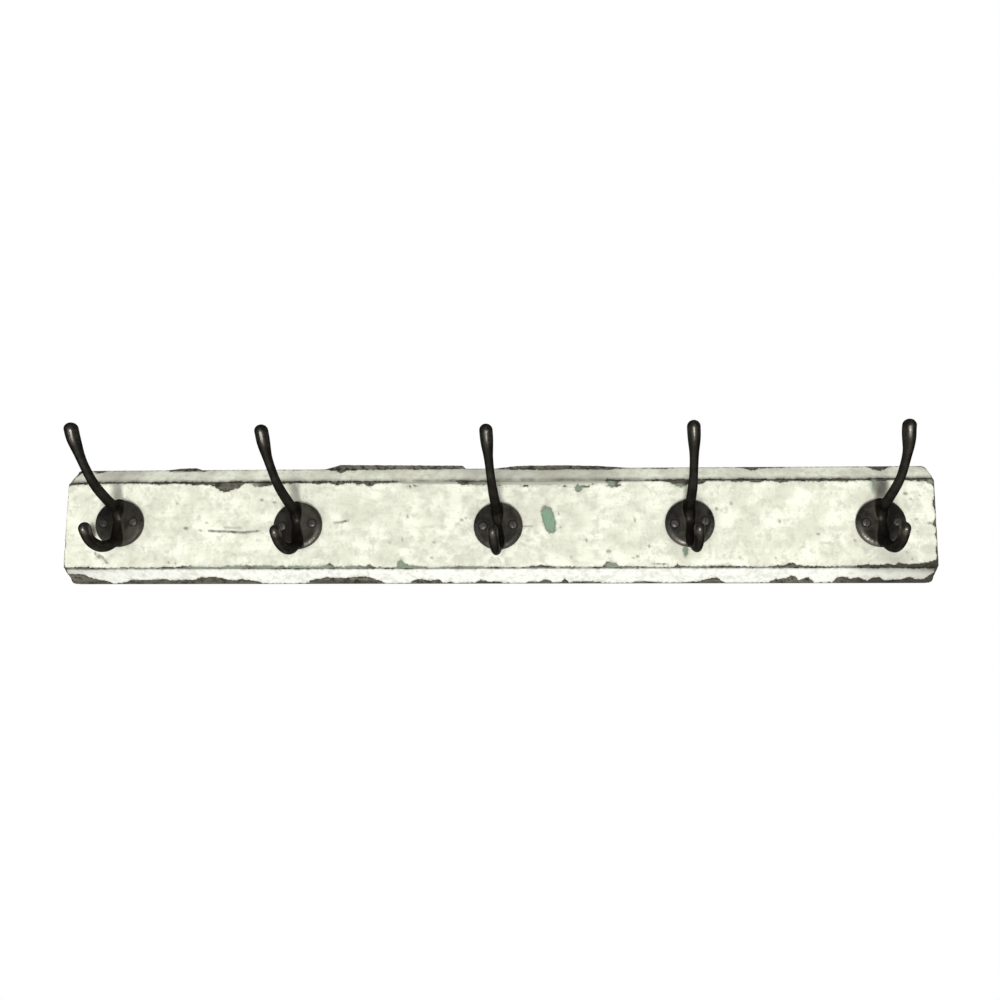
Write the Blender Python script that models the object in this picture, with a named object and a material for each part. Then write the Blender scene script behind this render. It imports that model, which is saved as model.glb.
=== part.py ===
"""Wall hook rack: a moulded softwood plank that carries five cast hat-and-coat hooks.

Metres, +Z up. The origin is the centre of the plank's back face, which lies against the wall.
+X runs along the plank, +Y points into the wall, so the hooks stand out along -Y.
A hook is drawn in its own frame: its origin is on the plank's front face, at the plate's centre.
"""

from math import cos, pi, radians, sin

import bmesh
import bpy
from mathutils import Matrix, Vector

# Gap between two pieces that touch on the real object.
GAP = 0.0003

# Plank: a raised flat field with a sunk, crowned bevel band along its top and its bottom edge.
PLANK_LENGTH = 0.870
PLANK_THICKNESS = 0.025
FIELD_HEIGHT = 0.0865
QUIRK_DEPTH = 0.0018
BEVEL_WIDTH = 0.0154
BEVEL_CROWN = 0.0007
BEVEL_STEPS = 4
EDGE_THICKNESS = 0.0098
PLANK_HEIGHT = FIELD_HEIGHT + 2 * BEVEL_WIDTH
ARRIS = 0.0009

# Torn remains of the tongue along the top edge, each as (x, rise above the edge) along its ridge.
TONGUE_FRONT = -0.0088
TONGUE_BACK = -0.0006
TONGUE_ROOT = 0.004
TONGUE_REMAINS = (
    ((-0.343, 0.0), (-0.328, 0.0024), (-0.312, 0.0030), (-0.305, 0.0)),
    ((-0.178, 0.0), (-0.160, 0.0060), (-0.034, 0.0042), (-0.031, 0.0)),
    ((-0.002, 0.0), (0.022, 0.0036), (0.066, 0.0042), (0.106, 0.0028), (0.136, 0.0)),
)

# Hooks: (x, z, lean in degrees), lean positive with the upper tip towards -X.
HOOKS = (
    (-0.3780, 0.0025, 2.1),
    (-0.1967, -0.0004, 5.6),
    (0.0042, -0.0015, 2.6),
    (0.1936, 0.0007, 4.6),
    (0.3797, 0.0001, 1.3),
)

# Casting: a domed round back plate with two arms that grow out of one upright spine.
PLATE_RADIUS = 0.0243
PLATE_RIM = 0.0024
PLATE_DOME = 0.0064
PLATE_SIDES = 32
PLATE_STEPS = 4
ARM_SIDES = 10
RINGS_PER_SPAN = 2
TIP_RINGS = 3
# Each station of an arm: (distance in front of the plank, height, half depth, half width).
UPPER_ARM = (
    (0.0012, 0.0110, 0.0078, 0.0050),
    (0.0070, 0.0138, 0.0068, 0.0048),
    (0.0200, 0.0183, 0.0047, 0.0045),
    (0.0344, 0.0252, 0.0043, 0.0043),
    (0.0453, 0.0315, 0.0041, 0.0041),
    (0.0541, 0.0382, 0.0039, 0.0039),
    (0.0610, 0.0450, 0.0038, 0.0038),
    (0.0668, 0.0512, 0.0039, 0.0039),
    (0.0722, 0.0580, 0.0045, 0.0045),
    (0.0766, 0.0645, 0.0054, 0.0054),
    (0.0803, 0.0708, 0.0060, 0.0060),
    (0.0838, 0.0788, 0.0062, 0.0062),
)
LOWER_ARM = (
    (0.0012, -0.0130, 0.0080, 0.0050),
    (0.0060, -0.0160, 0.0066, 0.0048),
    (0.0122, -0.0206, 0.0053, 0.0046),
    (0.0220, -0.0253, 0.0046, 0.0044),
    (0.0330, -0.0271, 0.0044, 0.0044),
    (0.0435, -0.0254, 0.0043, 0.0043),
    (0.0515, -0.0207, 0.0044, 0.0044),
    (0.0563, -0.0148, 0.0049, 0.0049),
    (0.0586, -0.0103, 0.0052, 0.0052),
)
SPINE = (
    (0.0042, 0.0165, 0.0022, 0.0030),
    (0.0040, 0.0120, 0.0036, 0.0046),
    (0.0040, 0.0000, 0.0034, 0.0046),
    (0.0040, -0.0140, 0.0036, 0.0046),
    (0.0042, -0.0185, 0.0022, 0.0030),
)

# Hook screws, left and right of the spine: slotted, with a domed head in a spot face.
SCREW_OFFSET = 0.0150
SPOT_RADIUS = 0.0049
SPOT_LEVEL = 0.0036
SCREW_HEAD_RADIUS = 0.0043
SCREW_HEAD_HEIGHT = 0.0027
SCREW_SHANK_RADIUS = 0.0020
SCREW_HOLE_RADIUS = SCREW_SHANK_RADIUS + GAP
SCREW_REACH = 0.0165
SCREW_POINT = 0.0040
SCREW_SLOT_WIDTH = 0.0010
SCREW_SLOT_DEPTH = 0.0011
SCREW_SIDES = 14
# Resting angle of each slot in degrees, left then right, hook by hook.
SLOT_ANGLES = ((25, 140), (80, 10), (160, 65), (35, 110), (95, 150))

# Keyhole hangers let into the back, with room behind each keyhole for a wall screw's head.
HANGER_X = 0.300
HANGER_Z = 0.010
HANGER_WIDTH = 0.020
HANGER_HEIGHT = 0.046
HANGER_THICKNESS = 0.0015
HANGER_CORNER = 0.003
KEY_ENTRY_RADIUS = 0.0052
KEY_SLOT_RADIUS = 0.0026
KEY_ENTRY_Z = -0.0050
KEY_SLOT_Z = 0.0075
KEY_POCKET_RADIUS = 0.0066
KEY_POCKET_DEPTH = 0.0110
HANGER_SCREW_Z = 0.0175
HANGER_SCREW_HEAD = 0.00315
HANGER_SCREW_SHANK = 0.0016
HANGER_SCREW_LENGTH = 0.0125
HANGER_SCREW_SINK = 0.0001
COUNTERSINK_RADIUS = 0.0037
HANGER_SLOT_WIDTH = 0.0008
HANGER_SLOT_DEPTH = 0.0006
ARC_STEPS = 8

PAINT_CREAM = (0.84, 0.85, 0.73, 1.0)
IRON_BLACK = (0.022, 0.020, 0.017, 1.0)
SCREW_BROWN = (0.060, 0.052, 0.042, 1.0)
ZINC_GREY = (0.55, 0.56, 0.57, 1.0)


def clear_scene():
    for obj in list(bpy.data.objects):
        bpy.data.objects.remove(obj, do_unlink=True)


def material(name, colour, roughness, metallic):
    """A plain Principled BSDF material."""
    made = bpy.data.materials.new(name)
    made.use_nodes = True
    shader = made.node_tree.nodes["Principled BSDF"]
    shader.inputs["Base Color"].default_value = colour
    shader.inputs["Roughness"].default_value = roughness
    shader.inputs["Metallic"].default_value = metallic
    return made


def new_object(name, mesh, surface=None):
    obj = bpy.data.objects.new(name, mesh)
    bpy.context.scene.collection.objects.link(obj)
    if surface:
        obj.data.materials.clear()
        obj.data.materials.append(surface)
    return obj


def mesh_from(bm, name):
    """Closes a bmesh off into a mesh, with its faces turned outwards."""
    bmesh.ops.recalc_face_normals(bm, faces=bm.faces)
    mesh = bpy.data.meshes.new(name)
    bm.to_mesh(mesh)
    bm.free()
    return mesh


def smooth(mesh, angle=35):
    mesh.shade_smooth()
    mesh.set_sharp_from_angle(angle=radians(angle))


def lofted(rings, name):
    """A closed mesh through rings of equally many points, with a cap on each end."""
    bm = bmesh.new()
    loops = [[bm.verts.new(point) for point in ring] for ring in rings]
    for here, there in zip(loops, loops[1:]):
        for i in range(len(here)):
            j = (i + 1) % len(here)
            bm.faces.new((here[i], here[j], there[j], there[i]))
    bm.faces.new(loops[0])
    bm.faces.new(loops[-1])
    return mesh_from(bm, name)


def turned(outline, sides, name):
    """A closed mesh turned about the Y axis from (radius, y) points, each end capped."""
    rings = [
        [(r * cos(2 * pi * i / sides), y, r * sin(2 * pi * i / sides)) for i in range(sides)]
        for r, y in outline
    ]
    return lofted(rings, name)


def prism(outline, y_from, y_to, name):
    """A closed mesh from an (x, z) outline drawn out along Y."""
    return lofted([[(x, y, z) for x, z in outline] for y in (y_from, y_to)], name)


def joined(meshes_and_places, name):
    """One mesh of several separate ones, each moved by its matrix."""
    bm = bmesh.new()
    for mesh, place in meshes_and_places:
        part = mesh.copy()
        part.transform(place)
        bm.from_mesh(part)
        bpy.data.meshes.remove(part)
    return mesh_from(bm, name)


def cut_and_joined(mesh, steps, name):
    """The mesh after Boolean steps, each an (operation, mesh) pair, with the helpers removed."""
    body = new_object("work_body", mesh)
    helpers = []
    for operation, other in steps:
        helper = new_object("work_helper", other)
        helper.hide_render = True
        helper.display_type = "WIRE"
        helpers.append(helper)
        step = body.modifiers.new(operation.lower(), "BOOLEAN")
        step.operation = operation
        step.object = helper
    bpy.context.view_layer.update()
    result = bpy.data.meshes.new_from_object(body.evaluated_get(bpy.context.evaluated_depsgraph_get()))
    result.name = name
    for obj in [body] + helpers:
        bpy.data.objects.remove(obj, do_unlink=True)
    return result


# ---------------------------------------------------------------- plank


def plank_outline():
    """The plank's section as (y, z), from the bottom back arris round the front to the top."""
    top = [(0.0, PLANK_HEIGHT / 2), (-EDGE_THICKNESS, PLANK_HEIGHT / 2)]
    sunk = PLANK_THICKNESS - QUIRK_DEPTH
    for i in range(1, BEVEL_STEPS):
        t = i / BEVEL_STEPS
        crown = BEVEL_CROWN * sin(pi * t)
        y = -(EDGE_THICKNESS + t * (sunk - EDGE_THICKNESS) + crown)
        top.append((y, PLANK_HEIGHT / 2 - t * BEVEL_WIDTH))
    top += [(-sunk, FIELD_HEIGHT / 2), (-PLANK_THICKNESS, FIELD_HEIGHT / 2)]
    bottom = [(y, -z) for y, z in top]
    return bottom + top[::-1]


def plank_blank():
    """The moulded plank with eased arrises, before it is drilled."""
    ends = (-PLANK_LENGTH / 2, PLANK_LENGTH / 2)
    mesh = lofted([[(x, y, z) for y, z in plank_outline()] for x in ends], "plank_blank")
    blank = new_object("work_blank", mesh)
    ease = blank.modifiers.new("ease_arrises", "BEVEL")
    ease.width = ARRIS
    ease.segments = 2
    ease.limit_method = "ANGLE"
    ease.angle_limit = radians(40)
    bpy.context.view_layer.update()
    eased = bpy.data.meshes.new_from_object(blank.evaluated_get(bpy.context.evaluated_depsgraph_get()))
    bpy.data.objects.remove(blank, do_unlink=True)
    return eased


def tongue_remains():
    """Wedges of torn wood that stand on the top edge, rooted inside the plank."""
    root = PLANK_HEIGHT / 2 - TONGUE_ROOT
    for ridge in TONGUE_REMAINS:
        outline = [(x, PLANK_HEIGHT / 2 + rise) for x, rise in ridge]
        outline += [(ridge[-1][0], root), (ridge[0][0], root)]
        yield prism(outline, TONGUE_FRONT, TONGUE_BACK, "tongue_remains")


def hook_place(x, z, lean):
    """The matrix that takes a hook's own frame to the plank."""
    return Matrix.Translation((x, -PLANK_THICKNESS, z)) @ Matrix.Rotation(radians(-lean), 4, "Y")


def hook_screw_holes():
    """One cutter for every pilot hole under the hooks, open at the plank's face."""
    depth = SCREW_REACH + GAP
    outline = [(SCREW_HOLE_RADIUS, -0.004), (SCREW_HOLE_RADIUS, depth)]
    bore = turned(outline, SCREW_SIDES, "pilot_bore")
    places = [
        (bore, hook_place(*hook) @ Matrix.Translation((side * SCREW_OFFSET, 0, 0)))
        for hook in HOOKS
        for side in (-1, 1)
    ]
    return joined(places, "pilot_bores")


def rounded_rectangle(width, height, corner):
    """Outline points (x, z) of a rectangle with round corners."""
    points = []
    quarter = ARC_STEPS // 2
    for turn, (sx, sz) in enumerate(((1, 1), (-1, 1), (-1, -1), (1, -1))):
        for i in range(quarter + 1):
            a = (turn + i / quarter) * pi / 2
            points.append(
                (sx * (width / 2 - corner) + corner * cos(a), sz * (height / 2 - corner) + corner * sin(a))
            )
    return points


def stadium(radius, z_low, z_high):
    """Outline points (x, z) of an upright slot with round ends."""
    upper = [(radius * cos(pi * i / ARC_STEPS), z_high + radius * sin(pi * i / ARC_STEPS))
             for i in range(ARC_STEPS + 1)]
    lower = [(-x, z_low - (z - z_high)) for x, z in upper]
    return upper + lower


def at_hangers(mesh, offsets=((0.0, 0.0),)):
    """The mesh at both hangers, and at each (x, z) offset from their centres."""
    return [
        (mesh, Matrix.Translation((side * HANGER_X + dx, 0, HANGER_Z + dz)))
        for side in (-1, 1)
        for dx, dz in offsets
    ]


def hanger_recesses():
    recess = rounded_rectangle(HANGER_WIDTH + 2 * GAP, HANGER_HEIGHT + 2 * GAP, HANGER_CORNER + GAP)
    cutter = prism(recess, -HANGER_THICKNESS - GAP, 0.004, "recess")
    return joined(at_hangers(cutter), "recesses")


def key_pockets():
    """Room for the wall screws' heads. Each runs out through the recess."""
    cutter = prism(stadium(KEY_POCKET_RADIUS, KEY_ENTRY_Z, KEY_SLOT_Z), -KEY_POCKET_DEPTH, 0.003, "pocket")
    return joined(at_hangers(cutter), "pockets")


def hanger_screw_holes():
    radius = HANGER_SCREW_SHANK + GAP
    outline = [(radius, -HANGER_SCREW_LENGTH - GAP - HANGER_SCREW_SINK), (radius, 0.002)]
    bore = turned(outline, SCREW_SIDES // 2, "hanger_bore")
    return joined(at_hangers(bore, ((0, -HANGER_SCREW_Z), (0, HANGER_SCREW_Z))), "hanger_bores")


def make_plank(surface):
    steps = [("UNION", wedge) for wedge in tongue_remains()]
    cutters = (hook_screw_holes(), hanger_recesses(), key_pockets(), hanger_screw_holes())
    steps += [("DIFFERENCE", cutter) for cutter in cutters]
    mesh = cut_and_joined(plank_blank(), steps, "plank")
    smooth(mesh, 25)
    return new_object("moulded_plank", mesh, surface)


# ---------------------------------------------------------------- hooks


def between(a, b, c, d, t):
    """A point of the Catmull-Rom curve from b to c."""
    return 0.5 * (2 * b + (c - a) * t + (2 * a - 5 * b + 4 * c - d) * t**2 + (3 * b - a - 3 * c + d) * t**3)


def stations(given):
    """The given stations with smooth ones worked out between them."""
    points = [Vector(station) for station in given]
    points = [2 * points[0] - points[1]] + points + [2 * points[-1] - points[-2]]
    for i in range(1, len(points) - 2):
        for j in range(RINGS_PER_SPAN):
            yield between(*points[i - 1 : i + 3], j / RINGS_PER_SPAN)
    yield points[-2]


def arm_ring(centre, across, half_depth, half_width):
    """One oval ring of an arm. across is the in-plane direction square to the arm."""
    ring = []
    for i in range(ARM_SIDES):
        a = 2 * pi * (i + 0.5) / ARM_SIDES
        d = centre.x + across.x * half_depth * cos(a)
        h = centre.y + across.y * half_depth * cos(a)
        ring.append((half_width * sin(a), -d, h))
    return ring


def arm(given, name, flat_start=True, round_tip=True):
    """An arm swept in the hook's upright middle plane, its first ring upright inside the plate."""
    path = list(stations(given))
    centres = [Vector((d, h)) for d, h, _, _ in path]
    rings = []
    for i, (_, _, half_depth, half_width) in enumerate(path):
        along = (centres[min(i + 1, len(path) - 1)] - centres[max(i - 1, 0)]).normalized()
        if i == 0 and flat_start:
            along = Vector((1.0, 0.0))
        across = Vector((-along.y, along.x))
        rings.append(arm_ring(centres[i], across, half_depth, half_width))
    if round_tip:
        radius = path[-1][2]
        for i in range(1, TIP_RINGS):
            a = i / TIP_RINGS * pi / 2
            centre = centres[-1] + along * radius * sin(a)
            rings.append(arm_ring(centre, across, radius * cos(a), radius * cos(a)))
    return lofted(rings, name)


def back_plate():
    """The domed round plate, its flat back a gap in front of the plank."""
    outline = [(PLATE_RADIUS - 0.0008, -GAP), (PLATE_RADIUS, -GAP - 0.0008), (PLATE_RADIUS, -PLATE_RIM + 0.0006)]
    for i in range(PLATE_STEPS):
        a = (i + 0.3) / (PLATE_STEPS - 1 + 0.3) * pi / 2
        r = PLATE_RADIUS * cos(a)
        rise = (PLATE_DOME - PLATE_RIM) * (1 - (r / PLATE_RADIUS) ** 2)
        outline.append((max(r, 0.002), -PLATE_RIM - rise))
    return turned(outline, PLATE_SIDES, "back_plate")


def screw_openings():
    """The two clearance holes with their spot faces, as one cutter."""
    outline = [
        (SCREW_HOLE_RADIUS, 0.004),
        (SCREW_HOLE_RADIUS, -SPOT_LEVEL),
        (SPOT_RADIUS, -SPOT_LEVEL),
        (SPOT_RADIUS, -0.012),
    ]
    opening = turned(outline, SCREW_SIDES, "screw_opening")
    places = [(opening, Matrix.Translation((side * SCREW_OFFSET, 0, 0))) for side in (-1, 1)]
    return joined(places, "screw_openings")


def hook_mesh():
    steps = [
        ("UNION", arm(SPINE, "spine", flat_start=False, round_tip=False)),
        ("UNION", arm(UPPER_ARM, "upper_arm")),
        ("UNION", arm(LOWER_ARM, "lower_arm")),
        ("DIFFERENCE", screw_openings()),
    ]
    mesh = cut_and_joined(back_plate(), steps, "hook_casting")
    smooth(mesh)
    return mesh


def screw_mesh():
    """A round-head wood screw. Its seat lies at y = 0 and its shank runs along +Y."""
    reach = SPOT_LEVEL + GAP + SCREW_REACH
    outline = [
        (0.0004, reach),
        (SCREW_SHANK_RADIUS, reach - SCREW_POINT),
        (SCREW_SHANK_RADIUS, 0.0),
        (SCREW_HEAD_RADIUS, 0.0),
        (SCREW_HEAD_RADIUS, -0.0004),
    ]
    for i in range(1, 4):
        a = i / 4 * pi / 2
        outline.append((SCREW_HEAD_RADIUS * cos(a), -0.0004 - (SCREW_HEAD_HEIGHT - 0.0004) * sin(a)))
    body = turned(outline, SCREW_SIDES, "screw_body")
    half = SCREW_SLOT_WIDTH / 2
    wide = 2 * SCREW_HEAD_RADIUS
    slot = prism(
        [(-wide, -half), (wide, -half), (wide, half), (-wide, half)],
        -SCREW_HEAD_HEIGHT - 0.001,
        -SCREW_HEAD_HEIGHT + SCREW_SLOT_DEPTH,
        "slot",
    )
    mesh = cut_and_joined(body, [("DIFFERENCE", slot)], "hook_screw")
    smooth(mesh)
    return mesh


def make_hooks(iron, steel):
    casting = hook_mesh()
    screw = screw_mesh()
    for number, (hook, angles) in enumerate(zip(HOOKS, SLOT_ANGLES), 1):
        body = new_object(f"hook_casting_{number}", casting, iron)
        body.matrix_world = hook_place(*hook)
        for side, word, angle in ((-1, "left", angles[0]), (1, "right", angles[1])):
            piece = new_object(f"hook_{number}_screw_{word}", screw, steel)
            seat = Matrix.Translation((side * SCREW_OFFSET, -SPOT_LEVEL - GAP, 0))
            piece.matrix_world = hook_place(*hook) @ seat @ Matrix.Rotation(radians(angle), 4, "Y")


# ---------------------------------------------------------------- hangers


def hanger_mesh():
    """A keyhole plate. Its outer face lies at y = 0, flush with the plank's back."""
    plate = prism(
        rounded_rectangle(HANGER_WIDTH, HANGER_HEIGHT, HANGER_CORNER), -HANGER_THICKNESS, 0.0, "hanger"
    )
    entry = turned([(KEY_ENTRY_RADIUS, -0.004), (KEY_ENTRY_RADIUS, 0.003)], 2 * ARC_STEPS, "entry")
    entry.transform(Matrix.Translation((0, 0, KEY_ENTRY_Z)))
    slot = prism(stadium(KEY_SLOT_RADIUS, KEY_ENTRY_Z, KEY_SLOT_Z), -0.0035, 0.0025, "key_slot")
    deep = HANGER_THICKNESS + 0.001
    sink = turned(
        [(COUNTERSINK_RADIUS - deep, -deep), (COUNTERSINK_RADIUS + 0.001, 0.001)], SCREW_SIDES, "sink"
    )
    sinks = joined(
        [(sink, Matrix.Translation((0, 0, side * HANGER_SCREW_Z))) for side in (-1, 1)], "sinks"
    )
    mesh = cut_and_joined(plate, [("DIFFERENCE", cutter) for cutter in (entry, slot, sinks)], "hanger_plate")
    smooth(mesh)
    return mesh


def hanger_screw_mesh():
    """A countersunk wood screw driven along -Y, its head just under the plate's face."""
    face = -HANGER_SCREW_SINK
    neck = face - (HANGER_SCREW_HEAD - HANGER_SCREW_SHANK)
    outline = [
        (HANGER_SCREW_HEAD, face),
        (HANGER_SCREW_SHANK, neck),
        (HANGER_SCREW_SHANK, face - HANGER_SCREW_LENGTH + 0.003),
        (0.0003, face - HANGER_SCREW_LENGTH),
    ]
    body = turned(outline, SCREW_SIDES, "hanger_screw_body")
    half = HANGER_SLOT_WIDTH / 2
    wide = 2 * HANGER_SCREW_HEAD
    slot = prism(
        [(-wide, -half), (wide, -half), (wide, half), (-wide, half)],
        face - HANGER_SLOT_DEPTH,
        face + 0.001,
        "slot",
    )
    mesh = cut_and_joined(body, [("DIFFERENCE", slot)], "hanger_screw")
    smooth(mesh)
    return mesh


def make_hangers(zinc, zinc_screw):
    plate = hanger_mesh()
    screw = hanger_screw_mesh()
    for side, word in ((-1, "left"), (1, "right")):
        centre = Matrix.Translation((side * HANGER_X, 0, HANGER_Z))
        new_object(f"hanger_plate_{word}", plate, zinc).matrix_world = centre
        for up, level, angle in ((1, "upper", 20), (-1, "lower", 75)):
            piece = new_object(f"hanger_{word}_screw_{level}", screw, zinc_screw)
            turn = Matrix.Rotation(radians(angle), 4, "Y")
            piece.matrix_world = centre @ Matrix.Translation((0, 0, up * HANGER_SCREW_Z)) @ turn


def main():
    clear_scene()
    make_plank(material("cream_paint", PAINT_CREAM, 0.55, 0.0))
    make_hooks(
        material("black_iron", IRON_BLACK, 0.38, 0.9), material("browned_steel", SCREW_BROWN, 0.40, 0.9)
    )
    make_hangers(material("zinc_plate", ZINC_GREY, 0.35, 1.0), material("zinc_screw", ZINC_GREY, 0.30, 1.0))


main()
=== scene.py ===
"""Looks of the wall hook rack: an old moulded plank in worn cream paint with five cast hooks.

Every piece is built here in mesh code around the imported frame. Shapes are worked out in
millimetres: x along the plank, y into the wall, z up. A hook is drawn in its own frame, whose
origin is on the plank's front face at the plate's centre. Meshes are stored in metres.
"""

from math import atan2, cos, pi, radians, sin

import bpy
import numpy as np
from mathutils import Euler, Matrix, Vector, noise


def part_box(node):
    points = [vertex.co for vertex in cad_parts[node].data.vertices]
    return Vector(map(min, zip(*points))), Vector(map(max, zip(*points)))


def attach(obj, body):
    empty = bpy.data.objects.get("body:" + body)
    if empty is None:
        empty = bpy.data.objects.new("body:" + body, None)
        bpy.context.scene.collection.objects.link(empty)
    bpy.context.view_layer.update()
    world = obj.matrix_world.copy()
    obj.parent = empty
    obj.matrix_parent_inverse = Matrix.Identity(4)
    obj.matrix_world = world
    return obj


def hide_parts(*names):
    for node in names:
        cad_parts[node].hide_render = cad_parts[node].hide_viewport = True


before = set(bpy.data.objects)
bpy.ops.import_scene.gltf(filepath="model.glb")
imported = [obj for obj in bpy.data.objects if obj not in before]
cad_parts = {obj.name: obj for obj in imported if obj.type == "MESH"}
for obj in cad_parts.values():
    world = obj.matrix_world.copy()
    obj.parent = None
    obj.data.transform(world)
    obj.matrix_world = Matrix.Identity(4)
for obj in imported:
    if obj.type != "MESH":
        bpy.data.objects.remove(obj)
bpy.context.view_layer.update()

MM = 0.001

# ---- sizes, in millimetres

PLANK_LOW, PLANK_HIGH = (np.array(corner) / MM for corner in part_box("moulded_plank"))
PLANK_HALF_LENGTH = (PLANK_HIGH[0] - PLANK_LOW[0]) / 2
PLANK_THICKNESS = PLANK_HIGH[1] - PLANK_LOW[1]
HALF_HEIGHT = -PLANK_LOW[2]
HALF_FIELD = 43.25
QUIRK_DEPTH = 1.8
BEVEL_CROWN = 0.7
EDGE_THICKNESS = 9.8
HOOK_COUNT = 5

# Arms of the casting: (distance in front of the plank, height, half depth, half width).
UPPER_ARM = (
    (1.2, 11.5, 8.2, 4.9),
    (7.0, 14.0, 7.2, 4.7),
    (12.5, 15.8, 5.9, 4.8),
    (20.0, 18.3, 4.8, 4.9),
    (34.4, 25.2, 4.5, 4.75),
    (45.3, 31.5, 4.3, 4.5),
    (54.1, 38.2, 4.05, 4.15),
    (61.0, 45.0, 3.95, 4.05),
    (66.8, 51.2, 4.0, 4.1),
    (72.2, 58.0, 4.5, 4.5),
    (76.6, 64.5, 5.35, 5.35),
    (80.3, 70.8, 5.95, 5.95),
    (83.7, 78.7, 6.0, 6.1),
)
LOWER_ARM = (
    (1.2, -13.2, 8.2, 4.9),
    (6.0, -16.2, 6.8, 4.7),
    (12.2, -20.6, 5.3, 4.5),
    (21.6, -24.4, 5.4, 4.5),
    (32.6, -25.8, 5.6, 4.5),
    (42.2, -24.0, 5.7, 4.5),
    (50.4, -20.1, 5.4, 4.6),
    (55.1, -14.5, 5.8, 5.0),
    (57.6, -10.6, 6.0, 5.2),
)
SPINE = (
    (3.0, 20.0, 3.6, 4.3),
    (3.6, 12.0, 5.0, 4.5),
    (3.4, 2.0, 4.1, 4.5),
    (3.8, -8.0, 5.0, 4.5),
    (3.0, -20.0, 3.6, 4.3),
)
PLATE_RADIUS = 24.4
PLATE_SQUASH = 0.965
PLATE_DROP = 0.75
PLATE_GAP = 0.3
SHOULDER_START = 16.8
SHOULDER_LEVEL = 2.5
SHOULDER_RISE = 3.2
PLATE_CROWN = 0.5
SCREW_OFFSET = 15.0
SPOT_RADIUS = 4.5
SPOT_LEVEL = 3.6
SCREW_HOLE_RADIUS = 2.3
HOLE_SIDES = 16
SCREW_HEAD_RADIUS = 4.3
SCREW_SHANK_RADIUS = 2.0
SCREW_POINT = 4.0
SCREW_HEAD_WALL = 1.5
SCREW_SLOT = (0.8, 0.8)
# Per hook, from the left: bright wear on the lower rim, which is also a painted highlight where the lamp's
# highlight falls; painted shadow of the lower arm on the plate's outer half (below 0 on its left half);
# sideways bends of the two arms, and the turns of the two screws in degrees.
RIM_WEAR_AND_GLINT = (0.2, 0.75, 0.3, 0.75, 0.9)
OUTER_PAINTED_SHADOW = (-0.15, -0.45, 0.0, 0.35, 0.55)
COAT_ARM_SWAY = (-1.0, -2.4, 0.0, 0.0, 0.0)
HAT_ARM_SWAY = (0.7, -0.6, 0.0, 0.0, 1.9)
SLOT_ANGLES = ((25, 140), (80, 10), (160, 65), (35, 110), (95, 150))

HANGER_CORNER = 3.0
# The keyhole: entry (radius, height), slot (half width, from, to), pocket behind (half width, depth).
KEY_ENTRY = (5.2, -5.0)
KEY_SLOT = (2.6, -5.0, 7.5)
KEY_POCKET = (6.6, 11.0)
HANGER_SCREW_Z = 17.5
HANGER_SCREW_HEAD = 3.15
HANGER_SCREW_SHANK = 1.6
HANGER_SLOT = (0.8, 0.6)
HANGER_ANGLES = {"upper": 20, "lower": 75}
COUNTERSINK_RADIUS = 3.7
FLUSH_GAP = 0.02

# ---- wear, in millimetres

# Bare wood along the bottom edge: (x, height that the missing paint reaches above the edge).
BOTTOM_EDGE_LOSS = (
    (-436, 10.0), (-415, 9.8), (-413, 6.5), (-405, 4.5), (-396, 2.8), (-390, 0.4), (-380, 1.2),
    (-370, 4.2), (-358, 3.8), (-346, 4.2), (-336, 5.2), (-330, 3.4), (-316, 4.0), (-304, 4.0),
    (-299, 6.2), (-284, 6.8), (-274, 4.8), (-264, 3.4), (-256, 4.6), (-246, 3.2), (-238, 1.2),
    (-232, 0.1), (-194, 0.4), (-188, 2.6), (-180, 4.6), (-168, 6.2), (-150, 5.4), (-142, 6.6),
    (-134, 7.2), (-126, 6.4), (-119, 3.8), (-114, 1.8), (-111, 0.1), (-88, 0.3), (-82, 3.0),
    (-73, 4.4), (-67, 2.8), (-62, 3.6), (-56, 3.8), (-53, 0.9), (-46, 1.1), (-38, 0.3),
    (-20, 0.8), (-14, 3.4), (-6, 1.4), (3, 2.2), (10, 0.6), (30, 0.2), (37, 2.4), (43, 0.7),
    (49, 3.9), (55, 3.2), (58, 0.5), (66, 0.8), (70, 5.0), (74, 0.7), (84, 1.9), (104, 1.4),
    (112, 0.3), (136, 0.4), (146, 2.0), (158, 1.6), (168, 0.3), (196, 0.8), (206, 2.6),
    (213, 3.8), (221, 5.4), (226, 2.0), (230, 0.2), (272, 0.3), (279, 3.6), (289, 4.2),
    (294, 7.2), (298, 6.0), (302, 2.6), (310, 5.4), (315, 3.0), (318, 0.3), (336, 0.6),
    (339, 5.4), (349, 5.4), (353, 3.8), (359, 5.4), (366, 3.0), (370, 2.2), (374, 5.2),
    (380, 5.4), (386, 2.4), (395, 3.2), (402, 3.0), (410, 6.0), (415, 3.4), (424, 3.6),
    (430, 8.5), (436, 12.0),
)
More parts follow.
